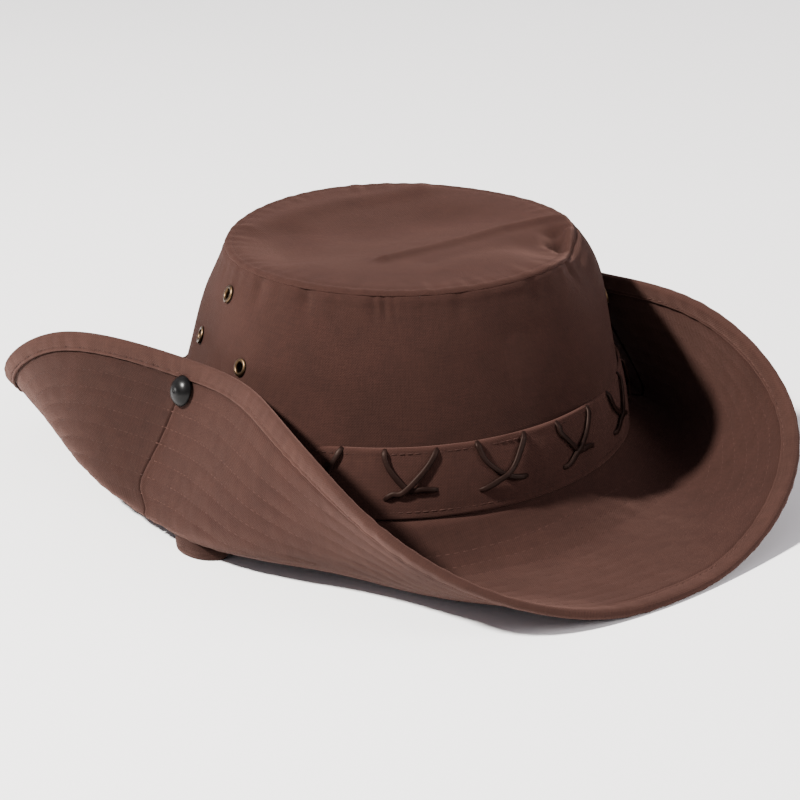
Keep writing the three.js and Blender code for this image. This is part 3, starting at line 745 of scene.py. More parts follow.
# The groove of each side seam and the lip beside it: how deep and how high, with places in degrees
SEAM_PULL = 0.85 * MM
SEAM_HALF = 0.20
SEAM_LIP = 0.25 * MM
SEAM_LIP_TURN = 0.75
SEAM_LIP_HALF = 0.45


def brim_relief(heading, from_edge, side):
    """Cloth puffed between the stitch rows, pulled in at them, with drag lines and a seam on each side."""
    nearest = np.min(np.abs(from_edge[..., None] - stitch_rows), axis=-1)
    inside = (from_edge > stitch_rows[0] - STITCH_ROW_STEP) & (from_edge < stitch_rows[-1] + STITCH_ROW_STEP)
    pull = bell(nearest / GROOVE_HALF)
    strength = ROW_PULL_LEAST + ROW_PULL_UNEVEN * waves("brim_pull", heading, from_edge, side)
    puff = waves("brim_puff", heading, from_edge, side)
    relief = np.where(inside, ROW_PUFF * puff * (1 - pull) - ROW_PULL[side] * pull * strength, 0)
    relief = relief - HEM_PULL * bell((from_edge - HEM_PULL_PLACE) / GROOVE_HALF)
    seam_line = 0
    for seam in SEAM_HEADINGS:
        gap = turn_from(heading, seam)
        seam_line = seam_line + bell(gap / SEAM_HALF)
        relief = relief + SEAM_LIP * bell((gap - SEAM_LIP_TURN) / SEAM_LIP_HALF)
    slack = BRIM_SLACK * np.tanh(0.6 * waves("brim_slack", heading, from_edge))
    return np.clip(relief, -RELIEF_LIMIT, RELIEF_LIMIT) - SEAM_PULL * seam_line + side * slack


def brim_rows(side):
    """Points of one face of the brim, from its inner edge to the hem, and their places on the flat cloth."""
    places = np.broadcast_to(distances[::-1], (len(brim_headings), len(distances)))
    shares, whole = brim_shares(brim_headings, places)
    steps = np.linspace(0, 1, ROOT_STEPS + 1)[None, :-1]
    root_places = whole[:, None] - (whole[:, None] - places[:, :1]) * steps
    shares = np.concatenate([shares[:, :1] * steps, shares], 1)
    places = np.concatenate([root_places, places], 1)
    heading = np.broadcast_to(brim_headings[:, None], shares.shape)
    relief = brim_relief(heading, places, side)
    relief[:, 0] = 0
    points, _ = brim_surface(
        heading + seam_swing(heading, places), places, side * (BRIM_CLOTH / 2 + relief), shares)
    flat = (whole[:, None] - places) + HEAD_LENGTH / 2
    uv = np.stack([flat * np.sin(np.radians(heading)), -flat * np.cos(np.radians(heading))], -1)
    return points, uv


GROUND_CLEAR = 0.05 * MM

# The brim's cloth goes on as a thin tongue inside the hem, so that no gap shows between them
TONGUE_END = 1.3 * MM
TONGUE_HALF = 0.6 * MM


def off_the_ground(points):
    points[..., 2] = np.maximum(points[..., 2], GROUND_CLEAR - REST_DEPTH)


top_points, top_uv = brim_rows(1)
low_points, low_uv = brim_rows(-1)
tongue_places = np.array([BINDING_WIDTH + GAP, TONGUE_END, TONGUE_END, BINDING_WIDTH + GAP])
tongue_offsets = TONGUE_HALF * np.array([1, 1, -1, -1])
tongue, _ = brim_surface(
    brim_headings, *(np.broadcast_to(v, (len(brim_headings), 4)) for v in (tongue_places, tongue_offsets)))
brim_points = np.concatenate([top_points, tongue, low_points[:, ::-1]], 1)
off_the_ground(brim_points)
brim_uv = np.concatenate([top_uv, np.repeat(top_uv[:, -1:], 4, axis=1), low_uv[:, ::-1]], 1)
brim = make_piece("brim_cloth", brim_points, ring_faces(*brim_points.shape[:2]), brim_canvas, brim_uv)
dress(brim, "brim_canvas", "brim")

STITCH_SPACING = 3.3 * MM
BRIM_STITCH_PROUD = 0.10 * MM
STITCH_SHARE = 0.8
STITCH_NEAR = 1 * MM
STITCH_OFF_GROUND = 0.5 * MM
ROW_STEP_DEGREES = 0.25


def read_along(values, lengths, where):
    """Vectors known at lengths along a line, read at others."""
    return np.stack([np.interp(where, lengths, values[:, k]) for k in range(3)], -1)


def rows_of_stitches(name, rows, side, spacing, proud, material, relief=None):
    """Stitches laid evenly along lines at lengths from the brim's edge, on one face."""
    places, alongs, normals = [], [], []
    dense = np.arange(0, 360, ROW_STEP_DEGREES)
    for row in rows:
        from_edge = np.full((len(dense), 1), row)
        half = np.full((len(dense), 1), BINDING_HALF)
        if relief:
            half = BRIM_CLOTH / 2 + relief(dense[:, None], from_edge, side)
        line, normal = brim_surface(dense, from_edge, side * half)
        line, normal = (np.concatenate([v[:, 0], v[:1, 0]]) for v in (line, normal * side))
        lengths = np.concatenate([[0], np.cumsum(np.linalg.norm(np.diff(line, axis=0), axis=1))])
        count = int(lengths[-1] / spacing)
        at = (np.arange(count) + 0.5) * lengths[-1] / count
        ahead, behind = np.minimum(at + STITCH_NEAR, lengths[-1]), np.maximum(at - STITCH_NEAR, 0)
        places.append(read_along(line, lengths, at))
        alongs.append(unit(read_along(line, lengths, ahead) - read_along(line, lengths, behind)))
        normals.append(unit(read_along(normal, lengths, at)))
    places, alongs, normals = (np.concatenate(v) for v in (places, alongs, normals))
    keep = places[:, 2] + normals[:, 2] * STITCH_OFF_GROUND > STITCH_OFF_GROUND - REST_DEPTH
    return stitch_run(
        name, places[keep], alongs[keep], normals[keep], material, spacing * STITCH_SHARE, proud)


for side, label, thread in ((1, "upper", upper_thread), (-1, "under", sewing_thread)):
    run = rows_of_stitches(f"brim_stitches_{label}", stitch_rows, side, STITCH_SPACING,
                           BRIM_STITCH_PROUD, thread, brim_relief)
    dress(run, "brim_canvas")


# Hem wrapped round the brim's edge

# From the brim's cloth out over one face to the edge, in mm: length from the edge, and height off the middle
HEM_PROFILE = [
    (7.5, 0.95), (7.5, 1.40), (7.25, 1.66), (6.9, 1.72), (6.3, 1.62), (6.0, 1.52), (5.7, 1.62), (5.0, 1.76),
    (4.0, 1.82), (3.0, 1.84), (2.0, 1.80), (1.2, 1.66), (0.6, 1.36), (0.2, 0.86), (0.03, 0.35),
]
HEM_SLOT = [(1.1, -0.95), (1.1, 0.95)]
HEM_FACE = 1.2 * MM
HEM_AROUND = 720
HEM_ROUND = 2 * math.pi * 174 * MM
HEM_TWIST = 0.07 * MM
HEM_SLACK = 0.10 * MM
HEM_STITCH_ROW = 6.0 * MM
HEM_STITCH_SPACING = 3.0 * MM
HEM_STITCH_PROUD = -0.02 * MM

hem_headings = np.arange(HEM_AROUND) * 360 / HEM_AROUND
other_face = [(from_edge, -height) for from_edge, height in HEM_PROFILE[::-1]]
hem_section = np.array([*HEM_PROFILE, *other_face, *HEM_SLOT]) * MM
hem_places = np.broadcast_to(hem_section[:, 0], (HEM_AROUND, len(hem_section)))
hem_heading = np.broadcast_to(hem_headings[:, None], hem_places.shape)
hem_side = np.sign(hem_section[:, 1])
outside = np.abs(hem_section[:, 1]) > HEM_FACE
twist = waves("hem_twist", hem_heading, hem_places)
slack = waves("hem_slack", hem_heading, hem_places)
hem_offset = hem_section[:, 1] + hem_side * outside * (HEM_TWIST * twist + HEM_SLACK * slack)
hem_points, _ = brim_surface(hem_headings, hem_places, hem_offset)
off_the_ground(hem_points)
hem_uv = np.stack([hem_heading / 360 * HEM_ROUND, hem_places * hem_side], -1)
hem_faces = ring_faces(*hem_points.shape[:2])
hem = make_piece("brim_hem", hem_points, hem_faces, binding_canvas, hem_uv, HEM_ROUND)
dress(hem, "binding_canvas", "brim_binding")
for side, label in ((1, "upper"), (-1, "under")):
    run = rows_of_stitches(f"hem_stitches_{label}", [HEM_STITCH_ROW], side, HEM_STITCH_SPACING,
                           HEM_STITCH_PROUD, sewing_thread)
    dress(run, "binding_canvas")


# Crown wall and top panel

CROWN_AROUND = 480
FOOT_SHARE = CROWN_FOOT / CROWN_HEIGHT
GATHERS_FROM = 0.80
RIM_FROM = 0.985
WALL_OVERRUN = 1.0036
crown_headings = (180 + np.arange(CROWN_AROUND) * 360 / CROWN_AROUND) % 360
wall_heights = np.concatenate([
    np.linspace(FOOT_SHARE, GATHERS_FROM, 30, endpoint=False),
    np.linspace(GATHERS_FROM, RIM_FROM, 18, endpoint=False),
    [RIM_FROM, 0.994, 1.0, WALL_OVERRUN],
])

# Loose and drawn-in places of the crown's wall: below is mm under the top seam, push is mm outward
CROWN_SLACK = [
    dict(heading=66, width=22, below=0, reach=32, push=4.2),
    dict(heading=250, width=20, below=42, reach=20, push=-3.0),
]
SEAM_HOLD = 6 * MM
WALL_SLACK = 0.9 * MM
WALL_SLACK_FADE = 18 * MM
FOOT_FADE = 0.35
WALL_GATHERS = dict(at=3, width=5, rise=0.10)
WALL_ROLL = dict(at=1.2, width=1.6, rise=0.45)
PUCKER_BELOW = 3 * MM
PUCKER_REACH = 6 * MM
PUCKER_LEAN = 0.12 / MM


def all_round(across):
    """Headings round the crown for a grid of so many places across, and those places."""
    heading = np.broadcast_to(crown_headings[:, None], (CROWN_AROUND, len(across)))
    return heading, np.broadcast_to(across[None, :], heading.shape)


def crown_slack(heading, height):
    """How far the loose wall bellies out or is drawn in. The top seam holds it near the rim."""
    below = np.maximum((1 - height) * CROWN_HEIGHT, 0)
    slack = 0
    for row in CROWN_SLACK:
        drop = bell((below / MM - row["below"]) / row["reach"])
        slack = slack + row["push"] * MM * bell(turn_from(heading, row["heading"]) / row["width"]) * drop
    return slack * (1 - np.exp(-below / SEAM_HOLD))


def crown_relief(heading, height):
    """Slack cloth: wide soft waves, small gathers under the top seam and a few deeper puckers."""
    below = (1 - height) * CROWN_HEIGHT
    free = np.clip(below / WALL_SLACK_FADE, 0, 1) * np.clip(height / FOOT_FADE, 0, 1)
    relief = WALL_SLACK * waves("wall_slack", heading, height) * free
    relief = relief + ridge(WALL_GATHERS, below) * waves("wall_gathers", heading, height)
    drop = bell((below - PUCKER_BELOW) / PUCKER_REACH)
    for row in PUCKERS:
        lean = turn_from(heading, row["heading"]) - PUCKER_LEAN * below
        relief = relief - row["depth"] * MM * bell(lean / row["width"]) * drop
    return relief + ridge(WALL_ROLL, below) + crown_slack(heading, height)


VENTS = [
    dict(label=f"{side_name}_{label}", heading=middle + turn_by, height=height / CROWN_HEIGHT)
    for side_name, middle in VENT_HEADINGS.items()
    for label, turn_by, height in (
        ("top", 0, VENT_HIGH), ("a", -VENT_SPREAD, VENT_LOW), ("b", VENT_SPREAD, VENT_LOW))
]
VENT_HOLE = 2.15 * MM
VENT_DRAWN = 4.4 * MM
VENT_DEEP = 5 * MM
VENT_MARGIN = 0.35 * MM


def open_vents(points, faces):
    """Spread the wall's cloth round each vent and leave out the faces that would cross its hole."""
    flat = points.reshape(-1, 3).copy()
    keep = np.ones(len(faces), bool)
    for row in VENTS:
        at, _, _, outward = crown_frame(np.array(float(row["heading"])), np.array(float(row["height"])))
        from_axis = flat - at
        deep = from_axis @ outward
        radial = from_axis - deep[:, None] * outward
        distance = np.linalg.norm(radial, axis=1)
        near = (distance < VENT_DRAWN) & (np.abs(deep) < VENT_DEEP)
        wanted = VENT_HOLE + (VENT_DRAWN - VENT_HOLE) * distance[near] / VENT_DRAWN
        spread = (wanted / np.maximum(distance[near], 1e-6))[:, None]
        flat[near] += radial[near] * (spread - 1)
        radial[near] *= spread
        inside = near[faces].all(1)
        for k in range(4):
            start, end = radial[faces[:, k]], radial[faces[:, (k + 1) % 4]]
            edge = end - start
            share = np.clip(-(start * edge).sum(1) / np.maximum((edge ** 2).sum(1), 1e-12), 0, 1)
            closest = np.linalg.norm(start + edge * share[:, None], axis=1)
            keep &= ~(inside & (closest < VENT_HOLE - VENT_MARGIN))
    return flat, faces[keep]


WALL_ROUND = 2 * math.pi * 88 * MM
wall_heading, wall_height = all_round(wall_heights)
wall_outer = crown_point(wall_heading, wall_height, crown_relief(wall_heading, wall_height))
wall_inner = crown_point(wall_heading, wall_height, crown_slack(wall_heading, wall_height) - CROWN_CLOTH)
wall_points = np.concatenate([wall_outer, wall_inner[:, ::-1]], 1)
wall_uv = np.stack([(wall_heading - 180) % 360 / 360 * WALL_ROUND, wall_height * CROWN_HEIGHT], -1)
wall_vertices, wall_faces = open_vents(wall_points, ring_faces(*wall_points.shape[:2]))
wall = make_piece("crown_wall", wall_vertices, wall_faces, crown_canvas,
                  np.concatenate([wall_uv, wall_uv[:, ::-1]], 1), WALL_ROUND)
dress(wall, "crown_canvas", "crown_side")

LID_RIM = 0.045
LID_LIFT = 0.2 * MM
LID_SLACK = 0.5 * MM
LID_SLACK_FADE = 20 * MM
LID_GATHERS = dict(at=4, width=5, rise=0.09)
LID_ROLL = dict(at=1.3, width=1.1, rise=0.35)
TOPSTITCH_INWARD = 3.2 * MM
TOPSTITCH_GROOVE = dict(at=TOPSTITCH_INWARD / MM, width=0.9, rise=-0.32)
lid_shares = np.concatenate([[1.0, 0.994, 0.985, 0.972, 0.958, 0.942, 0.925], np.linspace(0.90, 0.03, 56)])


def lid_relief(points, heading, share):
    """Creases, a rolled seam with a stitched line beside it, and gathers that fade inward."""
    relief = np.zeros(share.shape)
    rim = np.clip((1 - share) / LID_RIM, 0, 1)
    for row in LID_FOLDS:
        line = np.array(row["line"]) * MM
        off = np.full(share.shape, np.inf)
        for start, end in zip(line[:-1], line[1:]):
            step = end - start
            along = np.clip(((points[..., :2] - start) @ step) / (step @ step), 0, 1)
            from_line = points[..., :2] - (start + along[..., None] * step)
            off = np.minimum(off, np.linalg.norm(from_line, axis=-1))
        relief += rim * row["rise"] * MM * bell(off / (row["width"] * MM))
    inward = (1 - share) * TOP_WIDTH / 2
    relief += ridge(LID_GATHERS, inward) * waves("lid_gathers", heading, share)
    relief += LID_SLACK * waves("lid_slack", heading, share) * np.clip(inward / LID_SLACK_FADE, 0, 1) * share
    return relief + ridge(TOPSTITCH_GROOVE, inward) + ridge(LID_ROLL, inward)


def lid_points(heading, share, thick, lift):
    """Places on a face of the top panel: so thick, thinned to nothing at the rim, and lifted."""
    points = top_point(heading, share)
    relief = lid_relief(points, heading, share)
    rim = np.clip((1 - share) / LID_RIM, 0, 1)
    points[..., 2] += GAP + thick * np.sqrt(rim) + lift + relief
    return hollowed(points)


lid_heading, lid_share = all_round(lid_shares)
lid_top = lid_points(lid_heading, lid_share, CROWN_CLOTH, LID_LIFT)
lid_under = lid_points(lid_heading, lid_share, 0, 0)
lid_both = np.concatenate([lid_top[:, ::-1], lid_under], 1)
lid_flat = top_point(lid_heading, lid_share)[..., :2]
lid_uv = np.concatenate([lid_flat[:, ::-1], lid_flat], 1)
lid_through = lid_both.shape[1]
here = np.arange(CROWN_AROUND) * lid_through
following = np.roll(here, -1)
top_middle = np.full(CROWN_AROUND, CROWN_AROUND * lid_through)
lid_faces = [
    *ring_faces(CROWN_AROUND, lid_through, closed=False).tolist(),
    *np.stack([here, top_middle, following], -1).tolist(),
    *np.stack([here + lid_through - 1, following + lid_through - 1, top_middle + 1], -1).tolist(),
]


def with_middles(grid):
    """A grid's places in one list, with the middles of its first and last columns after them."""
    return np.concatenate([grid.reshape(-1, grid.shape[-1]), [grid[:, 0].mean(0), grid[:, -1].mean(0)]])


lid = make_piece("crown_lid", with_middles(lid_both), lid_faces, crown_canvas, with_middles(lid_uv))
dress(lid, "crown_canvas", "crown_top")


# Hat band

BAND_DROP = 1.1 * MM
BAND_FACE = GAP + BAND_CLOTH
BAND_FRONT = 1.2 * MM
BAND_SLACK = 0.12 * MM
band_foot = (CROWN_FOOT + GAP - BAND_DROP) / CROWN_HEIGHT
band_head = (CROWN_FOOT + GAP + BAND_HEIGHT) / CROWN_HEIGHT

# From the foot to the head: share of the band's height, and mm off the crown
BAND_PROFILE = [
    (0.0, 0.35), (0.0, 1.0), (0.012, 1.32), (0.035, 1.5), (0.075, 1.42), (0.11, 1.36), (0.15, 1.46),
    (0.3, 1.62), (0.5, 1.7), (0.7, 1.62), (0.85, 1.46), (0.89, 1.36), (0.925, 1.42), (0.965, 1.5),
    (0.988, 1.32), (1.0, 1.0), (1.0, 0.35),
]
band_up, band_off = np.array(BAND_PROFILE).T
band_heading, band_height = all_round(band_foot + band_up * (band_head - band_foot))
band_slack = waves("band_slack", band_heading, band_up)
band_offset = band_off * MM + np.where(band_off * MM > BAND_FRONT, BAND_SLACK, 0) * band_slack
band_points = crown_point(band_heading, band_height, band_offset)
band_uv = np.stack([(band_heading - 180) % 360 / 360 * WALL_ROUND, band_height * CROWN_HEIGHT], -1)
band_faces = ring_faces(*band_points.shape[:2])
band = make_piece("band_cloth", band_points, band_faces, band_canvas, band_uv, WALL_ROUND)
dress(band, "band_canvas", "hat_band")

CROWN_STITCH = 2.4 * MM
CROWN_STITCH_PROUD = 0.16 * MM
BAND_STITCH_DEGREES = 1.9
BAND_STITCH_FACE = 1.36 * MM


def stitch_headings(count):
    return (np.arange(count) + 0.5) * 360 / count


for share, label in ((0.09, "low"), (0.905, "high")):
    heading = stitch_headings(int(360 / BAND_STITCH_DEGREES))
    height = np.full(len(heading), band_foot + share * (band_head - band_foot))
    at, sideways, _, outward = crown_frame(heading, height)
    run = stitch_run(f"band_stitches_{label}", at + outward * BAND_STITCH_FACE, sideways, outward,
                     band_thread, CROWN_STITCH, CROWN_STITCH_PROUD)
    dress(run, "band_canvas")


# Topstitching beside the crown's seam, on the top panel

TOPSTITCH_COUNT = 150
top_heading = stitch_headings(TOPSTITCH_COUNT)
top_share = np.full(TOPSTITCH_COUNT, 1 - TOPSTITCH_INWARD / (TOP_WIDTH / 2))


def lid_spot(turn=0, nearer=0.0):
    """Where the stitches lie, or places turned a little round the hat or nearer to the rim."""
    heading, share = top_heading + turn, top_share + nearer
    points = top_point(heading, share)
    points[..., 2] += GAP + CROWN_CLOTH + LID_LIFT + lid_relief(points, heading, share)
    return hollowed(points)


along = unit(lid_spot(turn=1) - lid_spot(turn=-1))
inward = unit(lid_spot(nearer=-0.02) - lid_spot(nearer=0.02))
run = stitch_run("top_stitches", lid_spot(), along, unit(np.cross(along, inward)), crown_thread,
                 CROWN_STITCH, CROWN_STITCH_PROUD)
dress(run, "crown_canvas")


# Leather lacing: crosses of two thongs whose ends go into slits in the band

def smooth_path(points, count):
    """A smooth line through a few given places."""
    ends = np.concatenate([[2 * points[0] - points[1]], points, [2 * points[-1] - points[-2]]])
    spans = np.linspace(0, len(points) - 1 - 1e-9, count)
    k = spans.astype(int)
    f = (spans - k)[:, None]
    p0, p1, p2, p3 = ends[k], ends[k + 1], ends[k + 2], ends[k + 3]
    return 0.5 * (2 * p1 + (p2 - p0) * f + (2 * p0 - 5 * p1 + 4 * p2 - p3) * f ** 2
                  + (3 * p1 - p0 - 3 * p2 + p3) * f ** 3)


STRAP_SQUARENESS = 0.75


def swept(centres, sides, ups, width, thick, corners):
    """A strap with a rounded, slightly square section, carried along a line."""
    angle = np.arange(corners) * 2 * math.pi / corners
    x, y = (np.sign(v) * np.abs(v) ** STRAP_SQUARENESS / 2 for v in (np.cos(angle), np.sin(angle)))
    width, thick = np.broadcast_to(width, len(centres)), np.broadcast_to(thick, len(centres))
    return (centres[:, None] + sides[:, None] * (x[None, :] * width[:, None])[..., None]
            + ups[:, None] * (y[None, :] * thick[:, None])[..., None])


def run_faces(length, corners, start):
    """Quads of a tube and the many-sided faces that close its ends."""
    faces = []
    for k in range(length - 1):
        low, high = start + k * corners, start + (k + 1) * corners
        for m in range(corners):
            n = (m + 1) % corners
            faces.append([low + m, high + m, high + n, low + n])
    last = start + (length - 1) * corners
    faces.append([start + m for m in range(corners)])
    faces.append([last + m for m in range(corners)][::-1])
    return faces


# Seated and over are shares of the thong's thickness, end is one of its length, crossing of the half spread
LACE_STATIONS = 30
LACE_CORNERS = 14
LACE_SEED = 700
LACE_UNEVEN = 0.02
LACE_DIP = 1.3 * MM
LACE_HUMP = 0.55 * MM
LACE_SEATED = 0.42
LACE_OVER = 0.9
LACE_END = 0.05
LACE_CROSSING = 0.02
LACE_CROSSING_HALF = 0.22
LACE_LEVEL = 0.2
LACE_WIDTH_UNEVEN = 0.06
LACE_END_NARROWER = 0.25

for k in range(LACE_COUNT):
    heading = LACE_START + k * 360 / LACE_COUNT
    draw = np.random.default_rng(LACE_SEED + k)
    per_degree = np.linalg.norm(
        crown_point(heading + 0.5, LACE_LEVEL, BAND_FACE) - crown_point(heading - 0.5, LACE_LEVEL, BAND_FACE))
    points, faces = [], []
    for arm, rows in enumerate(LACE_ARMS):
        path = smooth_path(np.array(rows) + draw.normal(0, LACE_UNEVEN, (len(rows), 2)), LACE_STATIONS)
        share = np.linspace(0, 1, LACE_STATIONS)
        at_heading = heading + path[:, 0] * LACE_HALF_SPREAD / per_degree
        at_height = (CROWN_FOOT + path[:, 1] * LACE_TOP) / CROWN_HEIGHT
        place, _, _, outward = crown_frame(at_heading, at_height)
        ends = bell(np.minimum(share, 1 - share) / LACE_END)
        crossing = bell((path[:, 0] - LACE_CROSSING) / LACE_CROSSING_HALF)
        lift = (BAND_FACE + LACE_THICK * LACE_SEATED + LACE_HUMP * np.sin(math.pi * share) * (1 - crossing)
                + crossing * arm * LACE_THICK * LACE_OVER - ends * LACE_DIP)
        centre = place + outward * lift[:, None]
        along = unit(np.gradient(centre, axis=0))
        side = unit(np.cross(along, outward))
        width = LACE_WIDTH * (1 + LACE_WIDTH_UNEVEN * np.sin(share * 11 + k)) * (1 - LACE_END_NARROWER * ends)
        tube = swept(centre, side, np.cross(side, along), width, LACE_THICK, LACE_CORNERS)
        faces += run_faces(LACE_STATIONS, LACE_CORNERS, arm * LACE_STATIONS * LACE_CORNERS)
        points.append(tube)
    cross = make_piece(f"leather_cross_{k + 1:02d}", np.concatenate(points), faces, lace_leather)
    dress(cross, "lace_leather", f"lace_cross_{k + 1:02d}")


# Vent eyelets

# Radius and height off the cloth in mm: the washer inside the crown, the barrel, and the rolled rim outside
EYELET_PROFILE = [
    (1.9, -2.2), (3.1, -2.2), (3.3, -2.0), (3.3, -1.9), (2.3, -1.9), (2.3, 0.35), (3.35, 0.35), (3.5, 0.55),
    (3.42, 0.85), (3.1, 1.12), (2.7, 1.22), (2.3, 1.12), (2.0, 0.85), (1.9, 0.4),
]
EYELET_SIDES = 40
for row in VENTS:
    heading, height = np.array(float(row["heading"])), np.array(float(row["height"]))
    at, _, _, outward = crown_frame(heading, height)
    ring = turned(f"eyelet_{row['label']}", np.array(EYELET_PROFILE) * MM, EYELET_SIDES,
                  at + outward * crown_relief(heading, height), outward, eyelet_brass)
    dress(ring, "eyelet_brass", f"vent_eyelet_{row['label']}")


# Snaps: a domed cap on the outside of each folded side and a stud on the crown

# Radius and height in mm: the dome and its post off the outer face, and the socket behind the inner face
DOME_PROFILE = [
    (0.01, 3.32), (1.4, 3.26), (2.6, 3.05), (3.7, 2.62), (4.5, 2.10), (5.2, 1.44), (5.7, 0.80), (5.95, 0.36),
    (6.0, 0.12), (5.9, -0.10), (5.6, -0.18), (2.0, -0.18),
]
SOCKET_PROFILE = [(2.0, 0), (4.5, 0), (4.5, -1.9), (3.3, -1.9), (3.3, -0.7), (0.01, -0.7)]
SNAP_SIDES = 64
SNAP_FACE = BRIM_CLOTH / 2 + GAP + SNAP_CLEAR
snap_profile = [(radius * MM, SNAP_FACE + height * MM) for radius, height in DOME_PROFILE]
snap_profile += [(radius * MM, -SNAP_FACE + height * MM) for radius, height in SOCKET_PROFILE]
for side_name, heading in SNAP_HEADINGS.items():
    middle, crownward = brim_surface(np.array([heading]), np.array([[SNAP_FROM_EDGE]]), np.zeros((1, 1)))
    cap = turned(
        f"snap_dome_{side_name}", snap_profile, SNAP_SIDES, middle[0, 0], -crownward[0, 0], snap_metal)
    dress(cap, "snap_metal", f"snap_cap_{side_name}")


# Keeper loop: a bowed strap of the same cloth from the head seam out under the fold and back

KEEPER_STATIONS = 60
KEEPER_CORNERS = 20
KEEPER_BOW = 0.8
KEEPER_SWELL = 6
KEEPER_HALF_LENGTH = 30 * MM
KEEPER_GIRTH = 18 * MM

keeper_share = np.linspace(-1, 1, KEEPER_STATIONS)
keeper_turn = np.radians(keeper_share * 90)
keeper_front = np.maximum(np.cos(keeper_turn), 0)
keeper_aside = KEEPER_HALF_SPAN * np.sign(keeper_share) * np.abs(np.sin(keeper_turn)) ** KEEPER_BOW
keeper_out = (KEEPER_REACH + KEEPER_INSET) * keeper_front ** KEEPER_BOW - KEEPER_INSET
keeper_tall = KEEPER_END_HALF + KEEPER_MIDDLE_GAIN * keeper_front ** KEEPER_SWELL
keeper_at = np.array(float(KEEPER_HEADING))
outward = head_outward(keeper_at)
sideways = np.array([-outward[1], outward[0], 0])
keeper_place = head_point(keeper_at) + outward * keeper_out[:, None] + sideways * keeper_aside[:, None]
keeper_place[:, 2] = np.maximum(GAP - REST_DEPTH + keeper_tall, -KEEPER_DROP - np.maximum(keeper_out, 0))
keeper_along = unit(np.gradient(keeper_place, axis=0) * np.array([1, 1, 0]))
keeper_across = np.stack([keeper_along[:, 1], -keeper_along[:, 0], 0 * keeper_share], -1)
keeper_up = np.broadcast_to(np.array([0, 0, 1.0]), keeper_place.shape)
keeper_points = swept(keeper_place, keeper_across, keeper_up, KEEPER_CLOTH, keeper_tall * 2, KEEPER_CORNERS)
keeper_uv = np.stack(np.broadcast_arrays(
    keeper_share[:, None] * KEEPER_HALF_LENGTH,
    np.arange(KEEPER_CORNERS)[None, :] / KEEPER_CORNERS * KEEPER_GIRTH), -1)
keeper_faces = run_faces(KEEPER_STATIONS, KEEPER_CORNERS, 0)
keeper = make_piece("keeper_cloth", keeper_points, keeper_faces, brim_canvas, keeper_uv)
dress(keeper, "brim_canvas", "keeper_loop")


# Camera, at the photograph's angle

CAMERA_PLACE = np.array([-364.8, -1012.0, 367.8]) * MM + SEAT
CAMERA_AZIMUTH = math.radians(20)
CAMERA_ELEVATION = math.radians(18.3)
CAMERA_ROLL = math.radians(5.7)
CAMERA_LENS = 130.61

right = Vector((math.cos(CAMERA_AZIMUTH), -math.sin(CAMERA_AZIMUTH), 0))
ahead = Vector((
    math.sin(CAMERA_AZIMUTH) * math.cos(CAMERA_ELEVATION),
    math.cos(CAMERA_AZIMUTH) * math.cos(CAMERA_ELEVATION),
    -math.sin(CAMERA_ELEVATION),
))
up = right.cross(ahead)
image_right = right * math.cos(CAMERA_ROLL) - up * math.sin(CAMERA_ROLL)
image_up = right * math.sin(CAMERA_ROLL) + up * math.cos(CAMERA_ROLL)
camera_data = bpy.data.cameras.new("camera")
camera_data.lens = CAMERA_LENS
camera = bpy.data.objects.new("camera", camera_data)
bpy.context.scene.collection.objects.link(camera)
turn = Matrix((image_right, image_up, -ahead)).transposed().to_4x4()
camera.matrix_world = Matrix.Translation(Vector(CAMERA_PLACE)) @ turn
bpy.context.scene.camera = camera


# Lights: a small hard key from the hat's -X side, a broad fill from the right front and a pale room

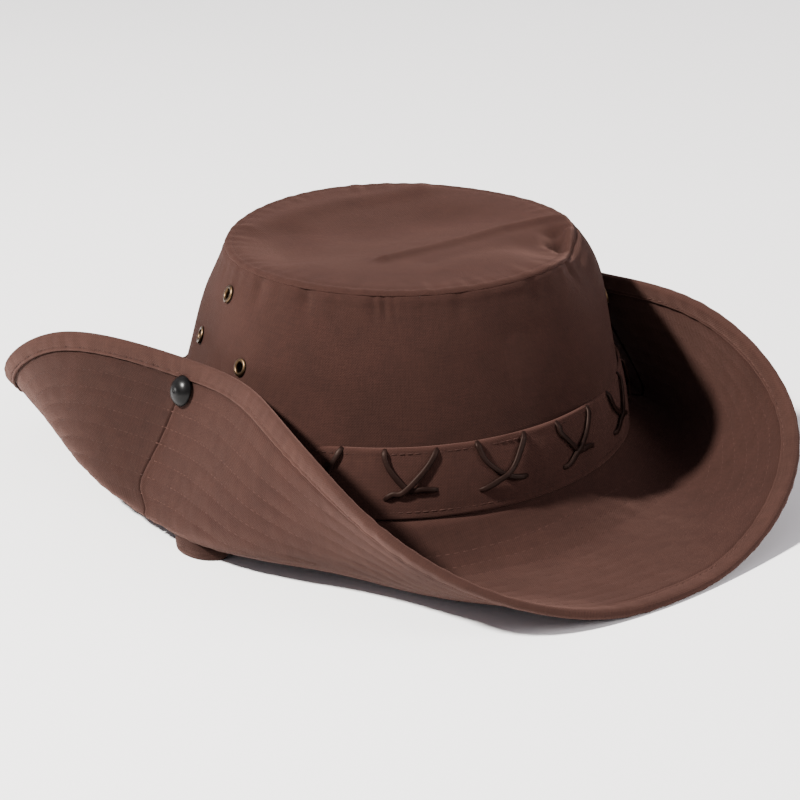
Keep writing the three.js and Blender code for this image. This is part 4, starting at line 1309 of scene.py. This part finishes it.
LIGHT_TARGET = (0, 0, 0.05)
KEY_HEADING = math.radians(276)
KEY_ELEVATION = math.radians(49)
KEY_DISTANCE = 2.6
KEY_PLACE = (
    math.sin(KEY_HEADING) * math.cos(KEY_ELEVATION) * KEY_DISTANCE,
    -math.cos(KEY_HEADING) * math.cos(KEY_ELEVATION) * KEY_DISTANCE,
    math.sin(KEY_ELEVATION) * KEY_DISTANCE,
)
LIGHTS = [
    dict(name="key", place=KEY_PLACE, size=0.26, watts=274, color=(1.0, 0.975, 0.94)),
    dict(name="fill", place=(1.5, -2.0, 1.2), size=1.4, watts=48, color=(1.0, 0.96, 0.97)),
]
ROOM_COLOR = (0.96, 0.90, 1.0, 1)
ROOM_STRENGTH = 0.48

for row in LIGHTS:
    data = bpy.data.lights.new(row["name"], "AREA")
    data.shape = "DISK"
    data.size = row["size"]
    data.energy = row["watts"]
    data.color = row["color"]
    lamp = bpy.data.objects.new(row["name"], data)
    lamp.location = row["place"]
    aim = Vector(LIGHT_TARGET) - Vector(row["place"])
    lamp.rotation_euler = aim.to_track_quat("-Z", "Y").to_euler()
    bpy.context.scene.collection.objects.link(lamp)
world = bpy.data.worlds.new("studio")
bpy.context.scene.world = world
world.use_nodes = True
world.node_tree.nodes["Background"].inputs["Color"].default_value = ROOM_COLOR
world.node_tree.nodes["Background"].inputs["Strength"].default_value = ROOM_STRENGTH


# Floor: plain pale paper

FLOOR_HALF = 4.0
floor_mesh = bpy.data.meshes.new("floor")
floor_corners = [(x * FLOOR_HALF, y * FLOOR_HALF, 0) for x, y in ((-1, -1), (1, -1), (1, 1), (-1, 1))]
floor_mesh.from_pydata(floor_corners, [], [(0, 1, 2, 3)])
floor = bpy.data.objects.new("floor", floor_mesh)
bpy.context.scene.collection.objects.link(floor)
paper = Nodes("floor_paper")
paper_tone = paper.ramp(paper.noise(paper.spots(), 3, 2),
                        [(0.3, (0.95, 0.95, 0.945, 1)), (0.7, (0.97, 0.97, 0.965, 1))])
paper.link(paper_tone, paper.shader.inputs["Base Color"])
paper.set(Roughness=0.9)
floor_mesh.materials.append(paper.material)

for side_name in SNAP_HEADINGS:
    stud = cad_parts[f"snap_stud_{side_name}"]
    stud.data.materials.clear()
    stud.data.materials.append(snap_metal)
